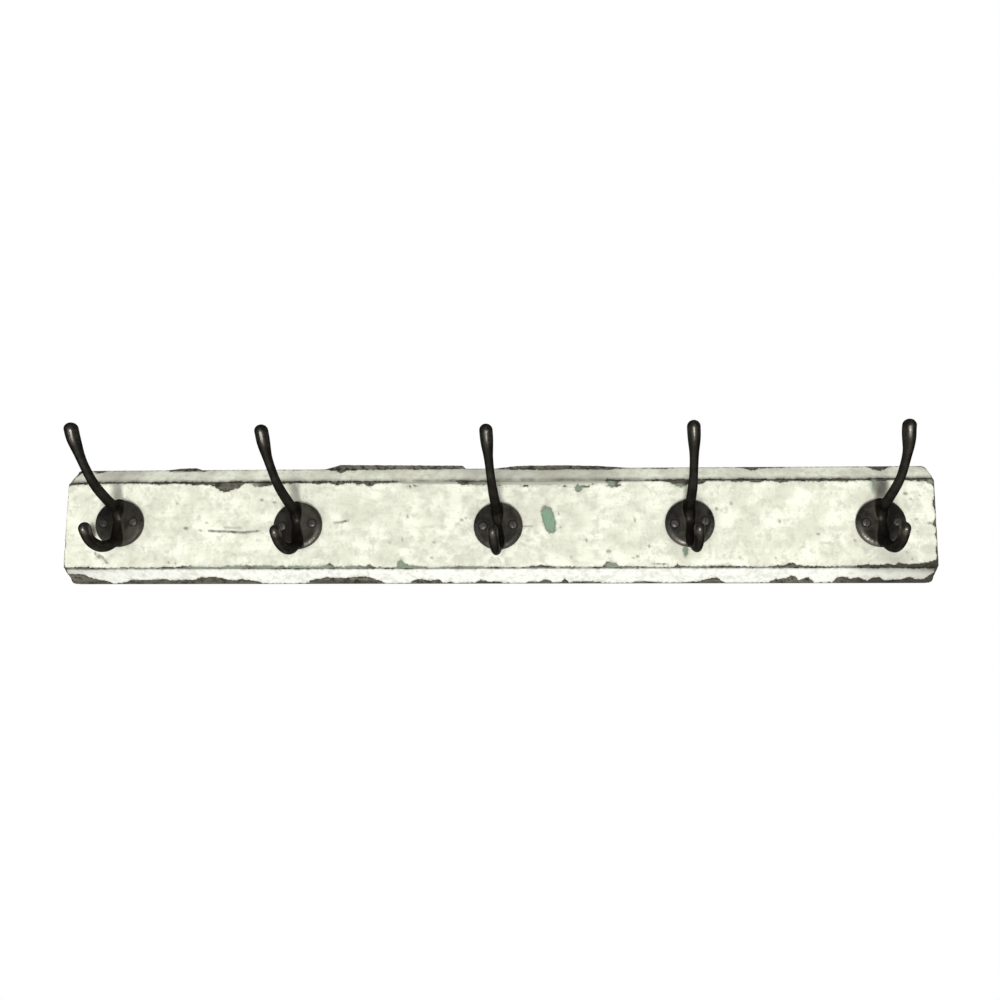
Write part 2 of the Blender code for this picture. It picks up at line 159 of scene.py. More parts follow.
# Paint lost from the field along its bottom quirk: (x, height of the loss above the quirk).
BOTTOM_QUIRK_LOSS = (
    (-436, 1.6), (-430, 1.0), (-410, 1.8), (-404, 0.6), (-398, 0.9), (-388, 0.1), (-370, 1.0),
    (-352, 0.3), (-338, 0.5), (-332, 1.9), (-322, 1.2), (-310, 2.2), (-300, 1.8), (-288, 1.6),
    (-278, 0.8), (-266, 2.4), (-256, 2.6), (-248, 2.9), (-238, 2.2), (-230, 2.8), (-222, 2.4),
    (-216, 1.2), (-212, 3.4), (-208, 1.0), (-198, 2.2), (-186, 1.8), (-174, 1.6), (-167, 2.6),
    (-164, 5.4), (-160, 1.6), (-150, 0.8), (-142, 2.0), (-134, 2.6), (-128, 1.4), (-124, 3.6),
    (-119, 1.0), (-108, 0.2), (-97, 0.3), (-94.5, 8.0), (-90, 6.0), (-86, 3.0), (-80, 2.6),
    (-74, 1.4), (-64, 0.0), (-52, 0.9), (-38, 1.4), (-22, 1.6), (-8, 0.9), (2, 1.3), (8, 0.5),
    (26, 0.0), (38, 1.4), (48, 2.2), (58, 1.4), (64, 0.3), (72, 1.3), (80, 0.4), (92, 0.1),
    (101, 1.2), (108, 0.3), (110.5, 5.0), (116, 5.4), (121, 4.4), (123.5, 1.2), (138, 1.1),
    (150, 0.6), (166, 0.0), (178, 0.4), (181, 3.6), (184, 1.4), (196, 1.0), (210, 1.2),
    (224, 1.7), (236, 1.2), (250, 0.6), (266, 0.1), (276, 1.2), (286, 2.2), (293, 4.6),
    (298, 2.0), (306, 1.0), (330, 0.6), (352, 1.0), (366, 2.4), (374, 1.8), (388, 3.0),
    (391, 1.0), (396, 4.0), (404, 2.6), (414, 2.8), (422, 4.0), (430, 6.2), (436, 8.5),
)
# Paint lost from the field along its top quirk: (x, depth of the loss below the quirk).
TOP_QUIRK_LOSS = (
    (-436, 2.8), (-424, 1.6), (-404, 0.9), (-380, 0.6), (-352, 0.9), (-342, 2.4), (-334, 1.8),
    (-326, 0.8), (-314, 1.6), (-306, 2.4), (-296, 1.8), (-288, 2.8), (-283, 4.6), (-279, 7.8),
    (-274, 9.6), (-268, 9.0), (-264, 7.0), (-259, 6.2), (-256, 3.6), (-252, 0.8), (-246, 1.2),
    (-243, 4.4), (-236, 4.8), (-228, 3.6), (-222, 1.2), (-212, 1.6), (-203, 1.0), (-194, 1.4),
    (-184, 1.2), (-178, 3.4), (-174, 1.4), (-166, 1.2), (-160, 3.4), (-154, 2.8), (-149, 1.2),
    (-142, 1.6), (-137, 3.6), (-133, 1.8), (-128, 4.8), (-123, 4.4), (-120, 1.8), (-108, 1.8),
    (-99, 1.2), (-95, -1.0), (-39, -1.0), (-36, 2.4), (-31, 4.0), (-25, 3.2), (-20, 3.6),
    (-12, 4.0), (-6, 3.2), (-2, -0.5), (110, -0.5), (113, 3.4), (117, 5.6), (122, 4.0), (126, 0.6),
    (148, 0.3), (157, 1.0), (166, 0.8), (174, 1.8), (180, 5.4), (186, 7.4), (190, 6.0), (196, 2.6),
    (202, 4.6), (208, 3.2), (213, 0.8), (232, 1.2), (242, 2.0), (252, 1.2), (262, 3.2), (268, 1.2),
    (278, 1.6), (284, 3.4), (289, 1.6), (302, 1.8), (316, 1.8), (323, 2.6), (333, 1.6), (346, 2.6),
    (352, 1.4), (368, 1.2), (378, 2.4), (396, 1.2), (416, 1.6), (426, 2.6), (432, 5.6), (436, 9.0),
)
# Bare wood along the top edge: (x, depth of the missing paint below the edge).
TOP_EDGE_LOSS = (
    (-436, 8.8), (-431, 7.6), (-428, 1.0), (-418, 0.6), (-413, 3.6), (-408, 2.6), (-402, 0.3),
    (-344, 0.2), (-336, 1.6), (-320, 1.8), (-308, 1.4), (-302, 2.2), (-297, 0.5), (-240, 0.2),
    (-178, 0.6), (-166, 1.4), (-158, 5.2), (-154, 1.6), (-140, 0.8), (-60, 0.6), (-32, 0.3),
    (0, 0.4), (14, 1.4), (50, 2.2), (76, 1.6), (110, 2.4), (124, 1.2), (140, 0.4), (160, 1.2),
    (172, 1.6), (180, 0.3), (240, 0.2), (252, 1.4), (256, 3.6), (261, 4.4), (266, 1.8),
    (290, 1.0), (300, 0.2), (374, 0.3), (380, 4.2), (386, 5.6), (392, 3.2), (398, 0.8),
    (410, 0.2), (428, 0.6), (436, 3.0),
)
# Bare wood round the right and the left end of the field: (z, width of the loss).
RIGHT_END_LOSS = (
    (-60, 4.0), (-50, 4.2), (-40, 3.4), (-34, 2.2), (-28, 3.6), (-24, 2.6), (-18, 1.4),
    (-12, 3.2), (-6, 1.2), (-2, 5.4), (1, 3.4), (6, 1.4), (14, 2.2), (17, 3.8), (22, 3.4),
    (26, 1.6), (34, 1.8), (40, 4.2), (44, 2.4), (52, 1.0), (60, 1.2),
)
LEFT_END_LOSS = (
    (-60, 2.0), (-48, 3.0), (-42, 3.0), (-36, 1.4), (-24, 1.2), (-20, 2.4), (-14, 1.0),
    (-8, 1.0), (4, 0.3), (20, 0.4), (30, 0.9), (40, 1.6), (44, 2.6), (50, 3.4), (60, 2.0),
)
# Chips down to the wood on the field: (x, z, half width, half height).
CHIPS = (
    (-84, 38.2, 3.4, 1.3), (-79, 38.8, 2.4, 1.1), (5.5, 38.4, 3.2, 0.7), (31, 38.2, 6.2, 0.75),
    (76, 37.9, 10.0, 0.75), (84, 36.0, 4.0, 3.4), (90, 37.2, 4.5, 1.2), (119, 38.2, 4.6, 1.2),
    (52, 39.2, 3.0, 0.5), (98.5, 39.2, 4.0, 0.6),
)
# Faint smudges, dents and rubbed places: (x, z, half width, half height).
SMUDGES = (
    (-311.0, -3.2, 2.3, 1.7), (-321, 21.8, 0.9, 1.4), (-296, -5.5, 1.6, 1.0), (-398, -31.5, 2.6, 2.4),
    (-402, -28.5, 1.4, 1.6), (-391, -35.5, 0.8, 2.4), (-327, -37.5, 1.2, 1.2), (-320, -38.5, 0.9, 1.1),
    (-235, 25.2, 1.4, 1.6), (-222, 22.8, 1.7, 1.0), (-290, 2.2, 1.3, 1.0), (-104.5, -18.2, 0.8, 1.5),
    (-87, 8.2, 0.9, 1.9), (-91.5, -15, 0.7, 1.6), (-32.5, 4.3, 1.7, 1.2), (-28.5, 6, 1.1, 1.0),
    (-60, -18, 1.2, 1.0), (-62, -33.5, 1.6, 1.0), (66, -3.2, 1.5, 1.1), (64, 10, 0.9, 1.5),
    (91.5, -16.5, 1.2, 1.7), (113.5, -27.5, 2.4, 1.6), (142, -32.6, 1.8, 1.3), (138, -34, 1.2, 0.8),
    (153.5, -22.6, 1.3, 1.5), (140, 3.6, 0.7, 1.8), (77, -33.5, 0.8, 1.6), (235, 19.6, 1.2, 1.8),
    (220.5, 14.4, 1.6, 1.8), (281.8, 1.6, 1.0, 1.8), (319, -11, 1.4, 1.2), (354.5, -17.4, 1.3, 1.2),
    (405.5, 28.6, 2.2, 1.7), (410.5, 23.3, 1.2, 1.3), (419, 27, 0.9, 0.8), (415, 3.4, 1.4, 0.8),
    (428, -0.8, 2.6, 1.2), (415.5, -9, 1.0, 0.7), (404.5, -29, 1.0, 1.2), (409, -36, 1.1, 0.9),
    (277.5, -34.5, 0.9, 1.2), (242, -34, 0.8, 1.8), (305, -24, 1.8, 0.6), (242.5, -47.5, 0.9, 0.6),
    (-357, 49.5, 1.8, 1.2), (-351, 49, 1.2, 0.8), (286.5, 47.5, 3.4, 2.0), (-34, 50, 1.2, 0.6),
)
# Scratches: (x from, x to, z from, z to, half width).
SCRATCHES = (
    (-287, -262, -6.0, -6.8, 0.85), (-264, -249, -7.0, -8.0, 0.75), (-252, -237, -7.6, -6.2, 0.6),
    (-272, -254, -2.8, -3.0, 0.22), (-160, -152, 1.8, 2.4, 0.45), (-153, -147, 2.6, 4.0, 0.5),
    (-395, -389, -31.5, -39.0, 0.35), (157, 171, -39.6, -40.4, 0.22), (26, 38, -2.4, -2.6, 0.18),
)
# Undercoat showing: (x, z, half width, half height).
GREEN_SPOTS = (
    (-92, -40.5, 3.6, 4.4), (-84, -42, 8.0, 1.5), (-278, -6.2, 5.0, 0.7), (-244, 40.5, 4.0, 1.6),
    (189.4, -27.8, 2.6, 4.2), (184, 37, 5.0, 2.2), (84, 35.5, 5.5, 2.4), (116, 40, 4.0, 2.8),
    (375, 38.0, 2.2, 4.5), (430.5, 39.5, 2.0, 2.6), (117, -41, 5.0, 2.4), (-14, 40.2, 8.0, 1.6),
    (-226, -41.6, 11.0, 2.0), (-192, -41.6, 14.0, 2.0), (-172, -42, 8.0, 1.6), (-142, -42.6, 9.0, 1.2),
    (-262, -42, 10.0, 1.6), (-52, -42.6, 9.0, 1.1), (-20, -42.4, 8.0, 1.1), (-295, -42.4, 9.0, 1.1),
    (200, -42.6, 5.0, 0.9), (348, -42.8, 3.0, 0.8),
)
# Chips in the field that stop at the undercoat: (x, z, half width, half height).
UNDERCOAT_CHIPS = ((189.4, -27.8, 2.4, 4.4), (375.5, 37.6, 1.3, 3.6), (-93, -39.0, 2.6, 3.4))
# The one large patch of undercoat: centre, half width, half height and lean to the left.
GREEN_PATCH = (54.3, 4.6, 6.3, 14.2, radians(14))
# Grime and painted shadow under and beside the hooks: the spots straight above the plates and the one
# behind the first hook's lower arm are painted shadow of the arms, partly grime; those round the last
# hook's underside are grime. (x, z, half width, half height, share).
GRIME_AND_PAINTED_SHADOW = (
    (-382.5, 35, 5.5, 13, 0.34), (-200.5, 35, 5.0, 13, 0.34), (8.0, 35, 5.0, 11, 0.12),
    (-407, -7, 6.5, 13, 1.15), (381.5, 36, 13, 17, 0.95), (377, 26, 14, 11, 0.3),
    (424, -9, 10, 9, 0.3), (396, -33, 32, 12, 0.45), (424, -27, 10, 8, 0.35),
)
# Where paint still bridges the top quirk: (x, share).
TOP_QUIRK_CLEAN = (
    (-99, 0), (-94, 1), (-42, 1), (-38, 0), (-5, 0), (0, 1), (108, 1), (113, 0), (126, 0), (130, 0.7),
    (146, 0.7), (152, 0),
)
# Worn slope along the field's top edge: (x, width that it reaches down from the quirk).
TOP_SLOPE = ((-110, 0.0), (-92, 3.0), (-40, 3.6), (10, 4.4), (60, 4.6), (110, 3.4), (150, 1.6), (190, 0.0))
# How much the top bevel is greyed along its length: (x, share).
TOP_BEVEL_GREYING = (
    (-436, 0.35), (-412, 0.15), (-403, 0.7), (-385, 0.9), (-367, 0.72), (-352, 0.22), (-250, 0.12),
    (-230, 0.2), (-190, 0.25), (-150, 0.12), (-70, 0.1), (-48, 0.3), (-30, 0.72), (60, 0.85),
    (110, 0.8), (128, 0.35), (150, 0.22), (185, 0.3), (240, 0.12), (350, 0.14), (380, 0.3),
    (436, 0.16),
)
# How far the bottom quirk has lost its paint: (x, half width of the bare line).
BOTTOM_QUIRK = (
    (-436, -0.5), (-250, -0.4), (-225, 0.1), (-90, 0.0), (-50, -0.3), (240, -0.2), (330, 0.3), (436, 0.5),
)
# Dirt that darkens the bottom bevel: (x, share).
BOTTOM_BEVEL_DIRT = (
    (-436, 0.3), (-405, 0.16), (-380, 0.04), (-240, 0.0), (345, 0.0), (368, 0.32), (400, 0.42),
    (422, 0.62), (436, 0.9),
)
# Remains of the tongue along the top edge: (x, rise above the edge), as on the CAD plank.
TONGUE = (
    ((-342.5, 0.0), (-328, 2.2), (-312, 2.8), (-305.5, 0.0)),
    ((-177, 0.0), (-160, 5.7), (-120, 5.0), (-80, 4.7), (-34.5, 4.0), (-31.5, 0.0)),
    ((-1.5, 0.0), (22, 3.3), (66, 3.9), (106, 2.6), (135, 0.0)),
)
TONGUE_FRONT = -8.8
TONGUE_BACK = -0.6
TONGUE_LIMIT = 5.75
# The plank's corners seen from the front: radius at the top right, the top left and the bottom.
CORNER_ROUND = (6.5, 3.5, 4.5)
END_EASE = 1.3
END_INSET = 1.9


# ---- meshes from fields


def sampled(values, where):
    """Values of a grid at fractional grid places, by trilinear steps."""
    top = np.array(values.shape) - 2
    base = np.clip(np.floor(where).astype(int), 0, top)
    part = np.clip(where - base, 0, 1)
    result = 0
    for corner in np.ndindex(2, 2, 2):
        weight = np.prod(np.where(corner, part, 1 - part), axis=1)
        result = result + weight * values[tuple((base + corner).T)]
    return result


def net_points(field):
    """One point in each grid cell that the surface passes through, and the cells' numbers."""
    inside = field < 0
    sizes = [n - 1 for n in field.shape]
    count = np.zeros(sizes, np.int8)
    for corner in np.ndindex(2, 2, 2):
        window = tuple(slice(c, c + n) for c, n in zip(corner, sizes))
        count += inside[window]
    active = (count > 0) & (count < 8)
    cells = np.argwhere(active)
    number = np.full(sizes, -1)
    number[active] = np.arange(len(cells))
    total, hits = np.zeros((len(cells), 3)), np.zeros(len(cells))
    for corner in np.ndindex(2, 2, 2):
        for axis in range(3):
            if corner[axis]:
                continue
            step = np.eye(3, dtype=int)[axis]
            here = field[tuple((cells + corner).T)]
            there = field[tuple((cells + corner + step).T)]
            crosses = (here < 0) != (there < 0)
            share = np.where(crosses, here / np.where(crosses, here - there, 1), 0)
            total += crosses[:, None] * (cells + corner + share[:, None] * step)
            hits += crosses
    return total / hits[:, None], number


def net_faces(field, number):
    """The quads that join the points of neighbouring cells, turned outwards."""
    inside = field < 0
    faces = []
    for axis in range(3):
        u, v = np.eye(3, dtype=int)[(axis + 1) % 3], np.eye(3, dtype=int)[(axis + 2) % 3]
        low = tuple(slice(0, -1) if i == axis else slice(1, -1) for i in range(3))
        high = tuple(slice(1, None) if i == axis else slice(1, -1) for i in range(3))
        edges = np.argwhere(inside[low] != inside[high])
        offset = np.array([0 if i == axis else 1 for i in range(3)])
        nodes = edges + offset
        quad = np.stack([number[tuple((nodes + c).T)] for c in (-u - v, -v, 0 * u, -u)], axis=1)
        outward = inside[tuple(nodes.T)]
        faces.append(np.where(outward[:, None], quad, quad[:, ::-1]))
    return np.concatenate(faces)


def relaxed(points, faces, field, rounds):
    """Evens the net out, and puts each point back on the surface after every round."""
    for _ in range(rounds):
        middle = points[faces].mean(axis=1)
        total, uses = np.zeros_like(points), np.zeros(len(points))
        for column in faces.T:
            np.add.at(total, column, middle)
            np.add.at(uses, column, 1)
        points = total / uses[:, None]
        slope = np.stack(
            [sampled(field, points + d) - sampled(field, points - d) for d in np.eye(3) * 0.5], axis=1
        )
        value = sampled(field, points)
        points = points - value[:, None] * slope / np.maximum((slope**2).sum(axis=1), 1e-6)[:, None]
    return points


def grid(low, high, step):
    """Axis values, broadcast against each other, of a regular grid in millimetres."""
    axes = [np.arange(a, b + step, step) for a, b in zip(low, high)]
    return np.meshgrid(*axes, indexing="ij", sparse=True)


def net_of(field, low, step, rounds):
    """Points in millimetres and faces of the zero surface of a field."""
    points, number = net_points(field)
    faces = net_faces(field, number)
    points = relaxed(points, faces, field, rounds)
    return np.array(low) + step * points, faces


def blended(a, b, reach):
    """The union of two fields with a fillet."""
    mix = np.maximum(reach - np.abs(a - b), 0) / reach
    return np.minimum(a, b) - mix * mix * reach / 4


def carved(a, b, reach):
    """Field a with b cut out of it, the edge eased."""
    return -blended(-a, b, reach)


def outline_field(points, u, v):
    """Signed distance to a closed outline of (u, v) points, negative inside."""
    nearest = np.full(np.broadcast(u, v).shape, 1e9)
    inside = np.zeros(nearest.shape, bool)
    for (au, av), (bu, bv) in zip(points, points[1:] + points[:1]):
        eu, ev = bu - au, bv - av
        wu, wv = u - au, v - av
        t = np.clip((wu * eu + wv * ev) / (eu * eu + ev * ev), 0, 1)
        nearest = np.minimum(nearest, (wu - t * eu) ** 2 + (wv - t * ev) ** 2)
        crosses = (av > v) != (bv > v)
        ahead = wu * (bv - av) - wv * eu
        inside ^= crosses & ((ahead < 0) == (bv > av))
    return np.where(inside, -1, 1) * np.sqrt(nearest)


def slab(field, low, high, along):
    """A flat outline's field given a thickness along one axis."""
    return np.maximum(field, np.maximum(low - along, along - high))


def mesh_object(name, points, faces, marks=None):
    """A smooth-shaded object from points in millimetres. marks are named numbers per point."""
    mesh = bpy.data.meshes.new(name)
    mesh.from_pydata((np.asarray(points) * MM).tolist(), [], [list(map(int, f)) for f in faces])
    for mark, values in (marks or {}).items():
        layer = mesh.attributes.new(mark, "FLOAT", "POINT")
        layer.data.foreach_set("value", np.asarray(values, np.float32))
    mesh.validate()
    mesh.shade_smooth()
    obj = bpy.data.objects.new(name, mesh)
    bpy.context.scene.collection.objects.link(obj)
    return obj


def placed(points, matrix):
    """Points in millimetres moved by a matrix whose translation is in millimetres."""
    m = np.array(matrix)
    return np.asarray(points) @ m[:3, :3].T + m[:3, 3]


def smooth_step(low, high, value):
    """A soft step from 0 to 1 as value goes from low to high, which may lie either way round."""
    t = np.clip((value - low) / (high - low), 0, 1)
    return t * t * (3 - 2 * t)


def cloud(points, size, seed, octaves=3):
    """Soft noise between about -1 and 1 at each point, with features of the given size."""
    shift = Vector((seed * 17.3, seed * 5.1, seed * 9.7))
    return np.array([noise.fractal(Vector(p) / size + shift, 0.6, 2.1, octaves) for p in points])


# ---- node helpers


class Nodes:
    """The node tree of a world or a material, with short ways to add and join nodes."""

    def __init__(self, owner):
        owner.use_nodes = True
        self.owner, self.tree = owner, owner.node_tree

    def put(self, socket, value):
        if isinstance(value, bpy.types.NodeSocket):
            self.tree.links.new(value, socket)
        elif isinstance(value, tuple) and len(value) == 3 and socket.type == "RGBA":
            socket.default_value = (*value, 1.0)
        else:
            socket.default_value = value

    def add(self, kind, inputs, output=0, **settings):
        """One output of a new node, given its settings and the values or sockets of its inputs."""
        node = self.tree.nodes.new("ShaderNode" + kind)
        for name, value in settings.items():
            setattr(node, name, value)
        for name, value in inputs.items():
            self.put(node.inputs[name], value)
        return node.outputs[output]

    def ramp(self, value, *stops):
        """Colours along a value, from (place, colour) stops."""
        result = self.add("ValToRGB", {"Fac": value}, "Color")
        elements = result.node.color_ramp.elements
        while len(elements) < len(stops):
            elements.new(0.5)
        for element, (place, colour) in zip(elements, stops):
            element.position, element.color = place, (*colour, 1.0)
        return result


class Surface(Nodes):
    """A material around one shader. Its patterns lie in the object's own coordinates, in metres."""

    def __init__(self, name):
        super().__init__(bpy.data.materials.new(name))
        self.coordinates = self.add("TexCoord", {}, "Object")

    def set(self, name, value):
        self.put(self.tree.nodes["Principled BSDF"].inputs[name], value)

    def mark(self, name):
        return self.add("Attribute", {}, "Fac", attribute_name=name)

    def math(self, operation, a, b=0.0, clamp=False):
        return self.add("Math", {0: a, 1: b}, operation=operation, use_clamp=clamp)

    def times(self, a, b, clamp=False):
        return self.math("MULTIPLY", a, b, clamp)

    def stretched(self, sx, sy, sz):
        return self.add("Mapping", {"Vector": self.coordinates, "Scale": (sx, sy, sz)})

    def moved(self, x, y, z):
        """The coordinates with their zero at another place."""
        return self.add("Mapping", {"Vector": self.coordinates, "Location": (-x, -y, -z)})

    def noise(self, scale, detail=3.0, roughness=0.55, vector=None, distortion=0.0):
        inputs = {"Vector": vector or self.coordinates, "Scale": scale, "Detail": detail}
        return self.add("TexNoise", {**inputs, "Roughness": roughness, "Distortion": distortion}, "Fac")

    def cells(self, scale, vector=None):
        return self.add("TexVoronoi", {"Vector": vector or self.coordinates, "Scale": scale}, "Distance")

    def step(self, value, low, high, low_out=0.0, high_out=1.0):
        """A soft step from low_out to high_out as value goes from low to high."""
        ends = {"From Min": low, "From Max": high, "To Min": low_out, "To Max": high_out}
        return self.add("MapRange", {"Value": value, **ends}, "Result", interpolation_type="SMOOTHSTEP")

    def mix(self, share, a, b):
        """A colour between a and b."""
        return self.add("Mix", {"Factor": share, "A": a, "B": b}, 2, data_type="RGBA")

    def level(self, share, a, b):
        """A number between a and b."""
        return self.add("Mix", {0: share, 2: a, 3: b}, data_type="FLOAT")

    def bump(self, height, distance, strength=1.0, under=None):
        """A bump whose height of 1 stands for distance in metres, over another bump."""
        inputs = {"Height": height, "Distance": distance, "Strength": strength}
        if under is not None:
            inputs["Normal"] = under
        return self.add("Bump", inputs, "Normal")


# ---- materials


def wood_colour(n, dark, light, grey):
    """Straight-grained old softwood along x, with growth lines and stains."""
    grain = n.noise(1.0, 5.0, 0.6, n.stretched(9, 260, 260), 0.6)
    fibre = n.noise(1.0, 3.0, 0.7, n.stretched(40, 1400, 1400))
    stain = n.noise(22, 4.0, 0.6)
    lines = n.step(grain, 0.36, 0.66)
    colour = n.mix(lines, dark, light)
    colour = n.mix(n.step(stain, 0.42, 0.68), colour, grey)
    flaked = n.step(n.noise(520, 4.0, 0.7), 0.5, 0.66, 0.0, 0.55)
    colour = n.mix(flaked, colour, tuple(1.9 * c for c in grey))
    return n.mix(n.step(fibre, 0.35, 0.75, 0.0, 0.35), colour, (0.03, 0.025, 0.018)), grain, fibre


def raw_timber(n):
    """The unpainted sawn back: warm old pine with growth bands, fibres, stains and a few knots."""
    bands = n.noise(1.0, 4.0, 0.55, n.stretched(2.2, 70, 62), 1.4)
    fibre = n.noise(1.0, 4.0, 0.65, n.stretched(30, 900, 900))
    colour = n.ramp(
        bands, (0.3, (0.235, 0.15, 0.08)), (0.45, (0.33, 0.225, 0.128)), (0.52, (0.215, 0.135, 0.07)),
        (0.6, (0.36, 0.25, 0.145)), (0.74, (0.19, 0.118, 0.062)),
    )
    colour = n.mix(n.step(fibre, 0.42, 0.78, 0.0, 0.45), colour, (0.11, 0.066, 0.034))
    greyed = n.step(n.noise(14, 5.0, 0.6), 0.48, 0.7, 0.0, 0.55)
    colour = n.mix(greyed, colour, (0.185, 0.155, 0.115))
    knots = n.cells(1.0, n.stretched(9, 26, 21))
    colour = n.mix(n.step(knots, 0.05, 0.13, 0.85, 0.0), colour, (0.075, 0.042, 0.021))
    return n.mix(n.step(n.noise(260, 4.0, 0.7), 0.6, 0.74, 0.0, 0.4), colour, (0.08, 0.055, 0.034))


def end_grain(n):
    """The sawn ends: growth rings round a heart below the plank, saw marks, drying cracks and grey."""
    inputs = {"Scale": 120.0, "Distortion": 2.2, "Detail": 3.0, "Detail Scale": 0.6}
    inputs["Vector"] = n.moved(0.0, -0.016, 0.052)
    rings = n.add("TexWave", inputs, "Fac", wave_type="RINGS", rings_direction="X")
    colour = n.mix(rings, (0.12, 0.1, 0.068), (0.072, 0.057, 0.037))
    grey = n.step(n.noise(48, 5.0, 0.6), 0.42, 0.66, 0.15, 0.85)
    colour = n.mix(grey, colour, (0.088, 0.082, 0.064))
    saw = n.step(n.noise(1.0, 3.0, 0.6, n.stretched(40, 60, 900)), 0.48, 0.62, 0.0, 0.35)
    colour = n.mix(saw, colour, (0.04, 0.035, 0.026))
    cracks = n.step(n.noise(1.0, 3.0, 0.7, n.stretched(30, 420, 90)), 0.66, 0.72, 0.0, 0.7)
    return n.mix(cracks, colour, (0.016, 0.013, 0.009)), rings


def painted_wood():
    """Old cream paint over green over weathered softwood. Marks give where paint is lost, in mm."""
    n = Surface("worn_cream_paint")
    bare, green = n.mark("bare"), n.mark("green")
    dirt_and_shadow, raw, shade, pale, sawn = (n.mark(name) for name in ("dirt_and_shadow", "raw", "shade", "pale", "sawn_end"))
    fine, coarse = n.noise(1500, 4.0, 0.65), n.noise(330, 4.0, 0.6)
    ragged = n.times(n.math("SUBTRACT", fine, 0.5), 2.6)
    ragged = n.math("ADD", ragged, n.times(n.math("SUBTRACT", coarse, 0.5), 4.8))
    loss = n.math("ADD", bare, ragged)
    flecks = n.step(n.noise(420, 5.0, 0.72), 0.735, 0.775)
    few = n.step(n.noise(46, 2.0, 0.5), 0.5, 0.62)
    lost = n.math("MAXIMUM", n.step(loss, -0.02, 0.16), n.times(flecks, few))
    film = n.math("SUBTRACT", 1.0, lost)

    wood, grain, fibre = wood_colour(n, (0.062, 0.056, 0.041), (0.165, 0.154, 0.117), (0.105, 0.099, 0.075))
    wood = n.mix(n.times(dirt_and_shadow, 0.45, clamp=True), wood, (0.028, 0.0255, 0.0195))
    shadowed = n.times(n.step(loss, 0.1, 1.6, 1.0, 0.0), n.level(pale, 0.4, 0.92))
    wood = n.mix(shadowed, wood, (0.018, 0.0165, 0.0125))
    wood = n.mix(n.step(n.noise(150, 4.0, 0.7), 0.47, 0.6, 0.0, 0.9), wood, (0.018, 0.0165, 0.0125))
    wood = n.mix(n.step(green, -2.6, -0.6, 0.0, 0.85), wood, (0.2, 0.215, 0.168))
    ends, rings = end_grain(n)
    wood = n.mix(n.step(sawn, 0.3, 0.9), n.mix(raw, wood, raw_timber(n)), ends)
    undercoat = n.mix(n.noise(300, 3.0), (0.15, 0.245, 0.165), (0.215, 0.32, 0.225))
    spots = n.step(n.noise(380, 3.0, 0.6), 0.7, 0.75, 0.0, 0.6)
    undercoat = n.mix(spots, undercoat, (0.13, 0.12, 0.1))

    cloudy, streaks = n.noise(34, 6.0, 0.62), n.noise(1.0, 4.0, 0.6, n.stretched(26, 210, 210))
    mottle = n.noise(140, 5.0, 0.66)
    cream = n.mix(n.step(cloudy, 0.36, 0.62), (0.79, 0.81, 0.68), (0.61, 0.617, 0.505))
    cream = n.mix(pale, cream, (0.69, 0.702, 0.652))
    cream = n.mix(n.step(mottle, 0.45, 0.66, 0.0, 0.66), cream, (0.47, 0.47, 0.392))
    cream = n.mix(n.step(streaks, 0.52, 0.76, 0.0, 0.45), cream, (0.52, 0.515, 0.42))
    scuffs = n.step(n.noise(90, 6.0, 0.75, distortion=1.2), 0.55, 0.68, 0.0, 0.42)
    cream = n.mix(scuffs, cream, (0.37, 0.368, 0.315))
    specks = n.step(n.noise(650, 4.0, 0.7), 0.64, 0.74, 0.0, 0.5)
    cream = n.mix(n.times(specks, n.step(coarse, 0.5, 0.64)), cream, (0.23, 0.225, 0.19))
    cream = n.mix(n.step(loss, -1.9, 0.0, 0.0, 0.42), cream, (0.25, 0.24, 0.195))
    cream = n.mix(shade, cream, (0.33, 0.33, 0.27))
    # The dirt mark darkens the cream, also where it carries painted arm shadow near the hooks.
    soot_and_painted_shadow = n.times(dirt_and_shadow, n.step(n.noise(420, 4.0, 0.7), 0.2, 0.62, 0.55, 1.0), clamp=True)
    cream = n.mix(soot_and_painted_shadow, cream, (0.075, 0.07, 0.054))

    green_edge = n.math("ADD", green, n.times(ragged, 1.1))
    whole = n.math("MAXIMUM", n.step(green, 2.6, 3.2), n.step(n.noise(760, 3.0, 0.6), 0.5, 0.55))
    fringe = n.times(n.step(loss, -0.45, -0.15), n.step(green, -1.2, 0.0))
    fringe = n.times(fringe, whole)
    greened = n.math("MAXIMUM", n.times(n.step(green_edge, -0.05, 0.2), whole), fringe)
    under = n.mix(greened, wood, undercoat)
    coat = n.mix(fringe, cream, undercoat)
    colour = n.mix(lost, coat, under)
    colour = n.mix(raw, colour, wood)
    n.set("Base Color", colour)

    covered = n.times(film, n.math("SUBTRACT", 1.0, raw), clamp=True)
    sheen = n.step(n.noise(70, 3.0), 0.3, 0.7, 0.42, 0.6)
    n.set("Roughness", n.level(covered, 0.86, sheen))
    n.set("Specular IOR Level", 0.28)
    brush = n.noise(1.0, 3.0, 0.6, n.stretched(60, 900, 900))
    lumps = n.noise(900, 3.0, 0.6)
    surface = n.bump(n.noise(160, 3.0, 0.5), 0.00022, 0.7)
    brushed = n.math("ADD", n.times(brush, 0.6), n.times(lumps, 0.4))
    surface = n.bump(brushed, 0.00012, 0.8, surface)
    relief = n.level(sawn, n.math("ADD", grain, fibre), rings)
    rough_wood = n.times(relief, n.math("SUBTRACT", 1.0, covered))
    surface = n.bump(rough_wood, 0.0005, 0.9, surface)
    n.set("Normal", n.bump(covered, 0.00022, 1.0, surface))
    return n.owner


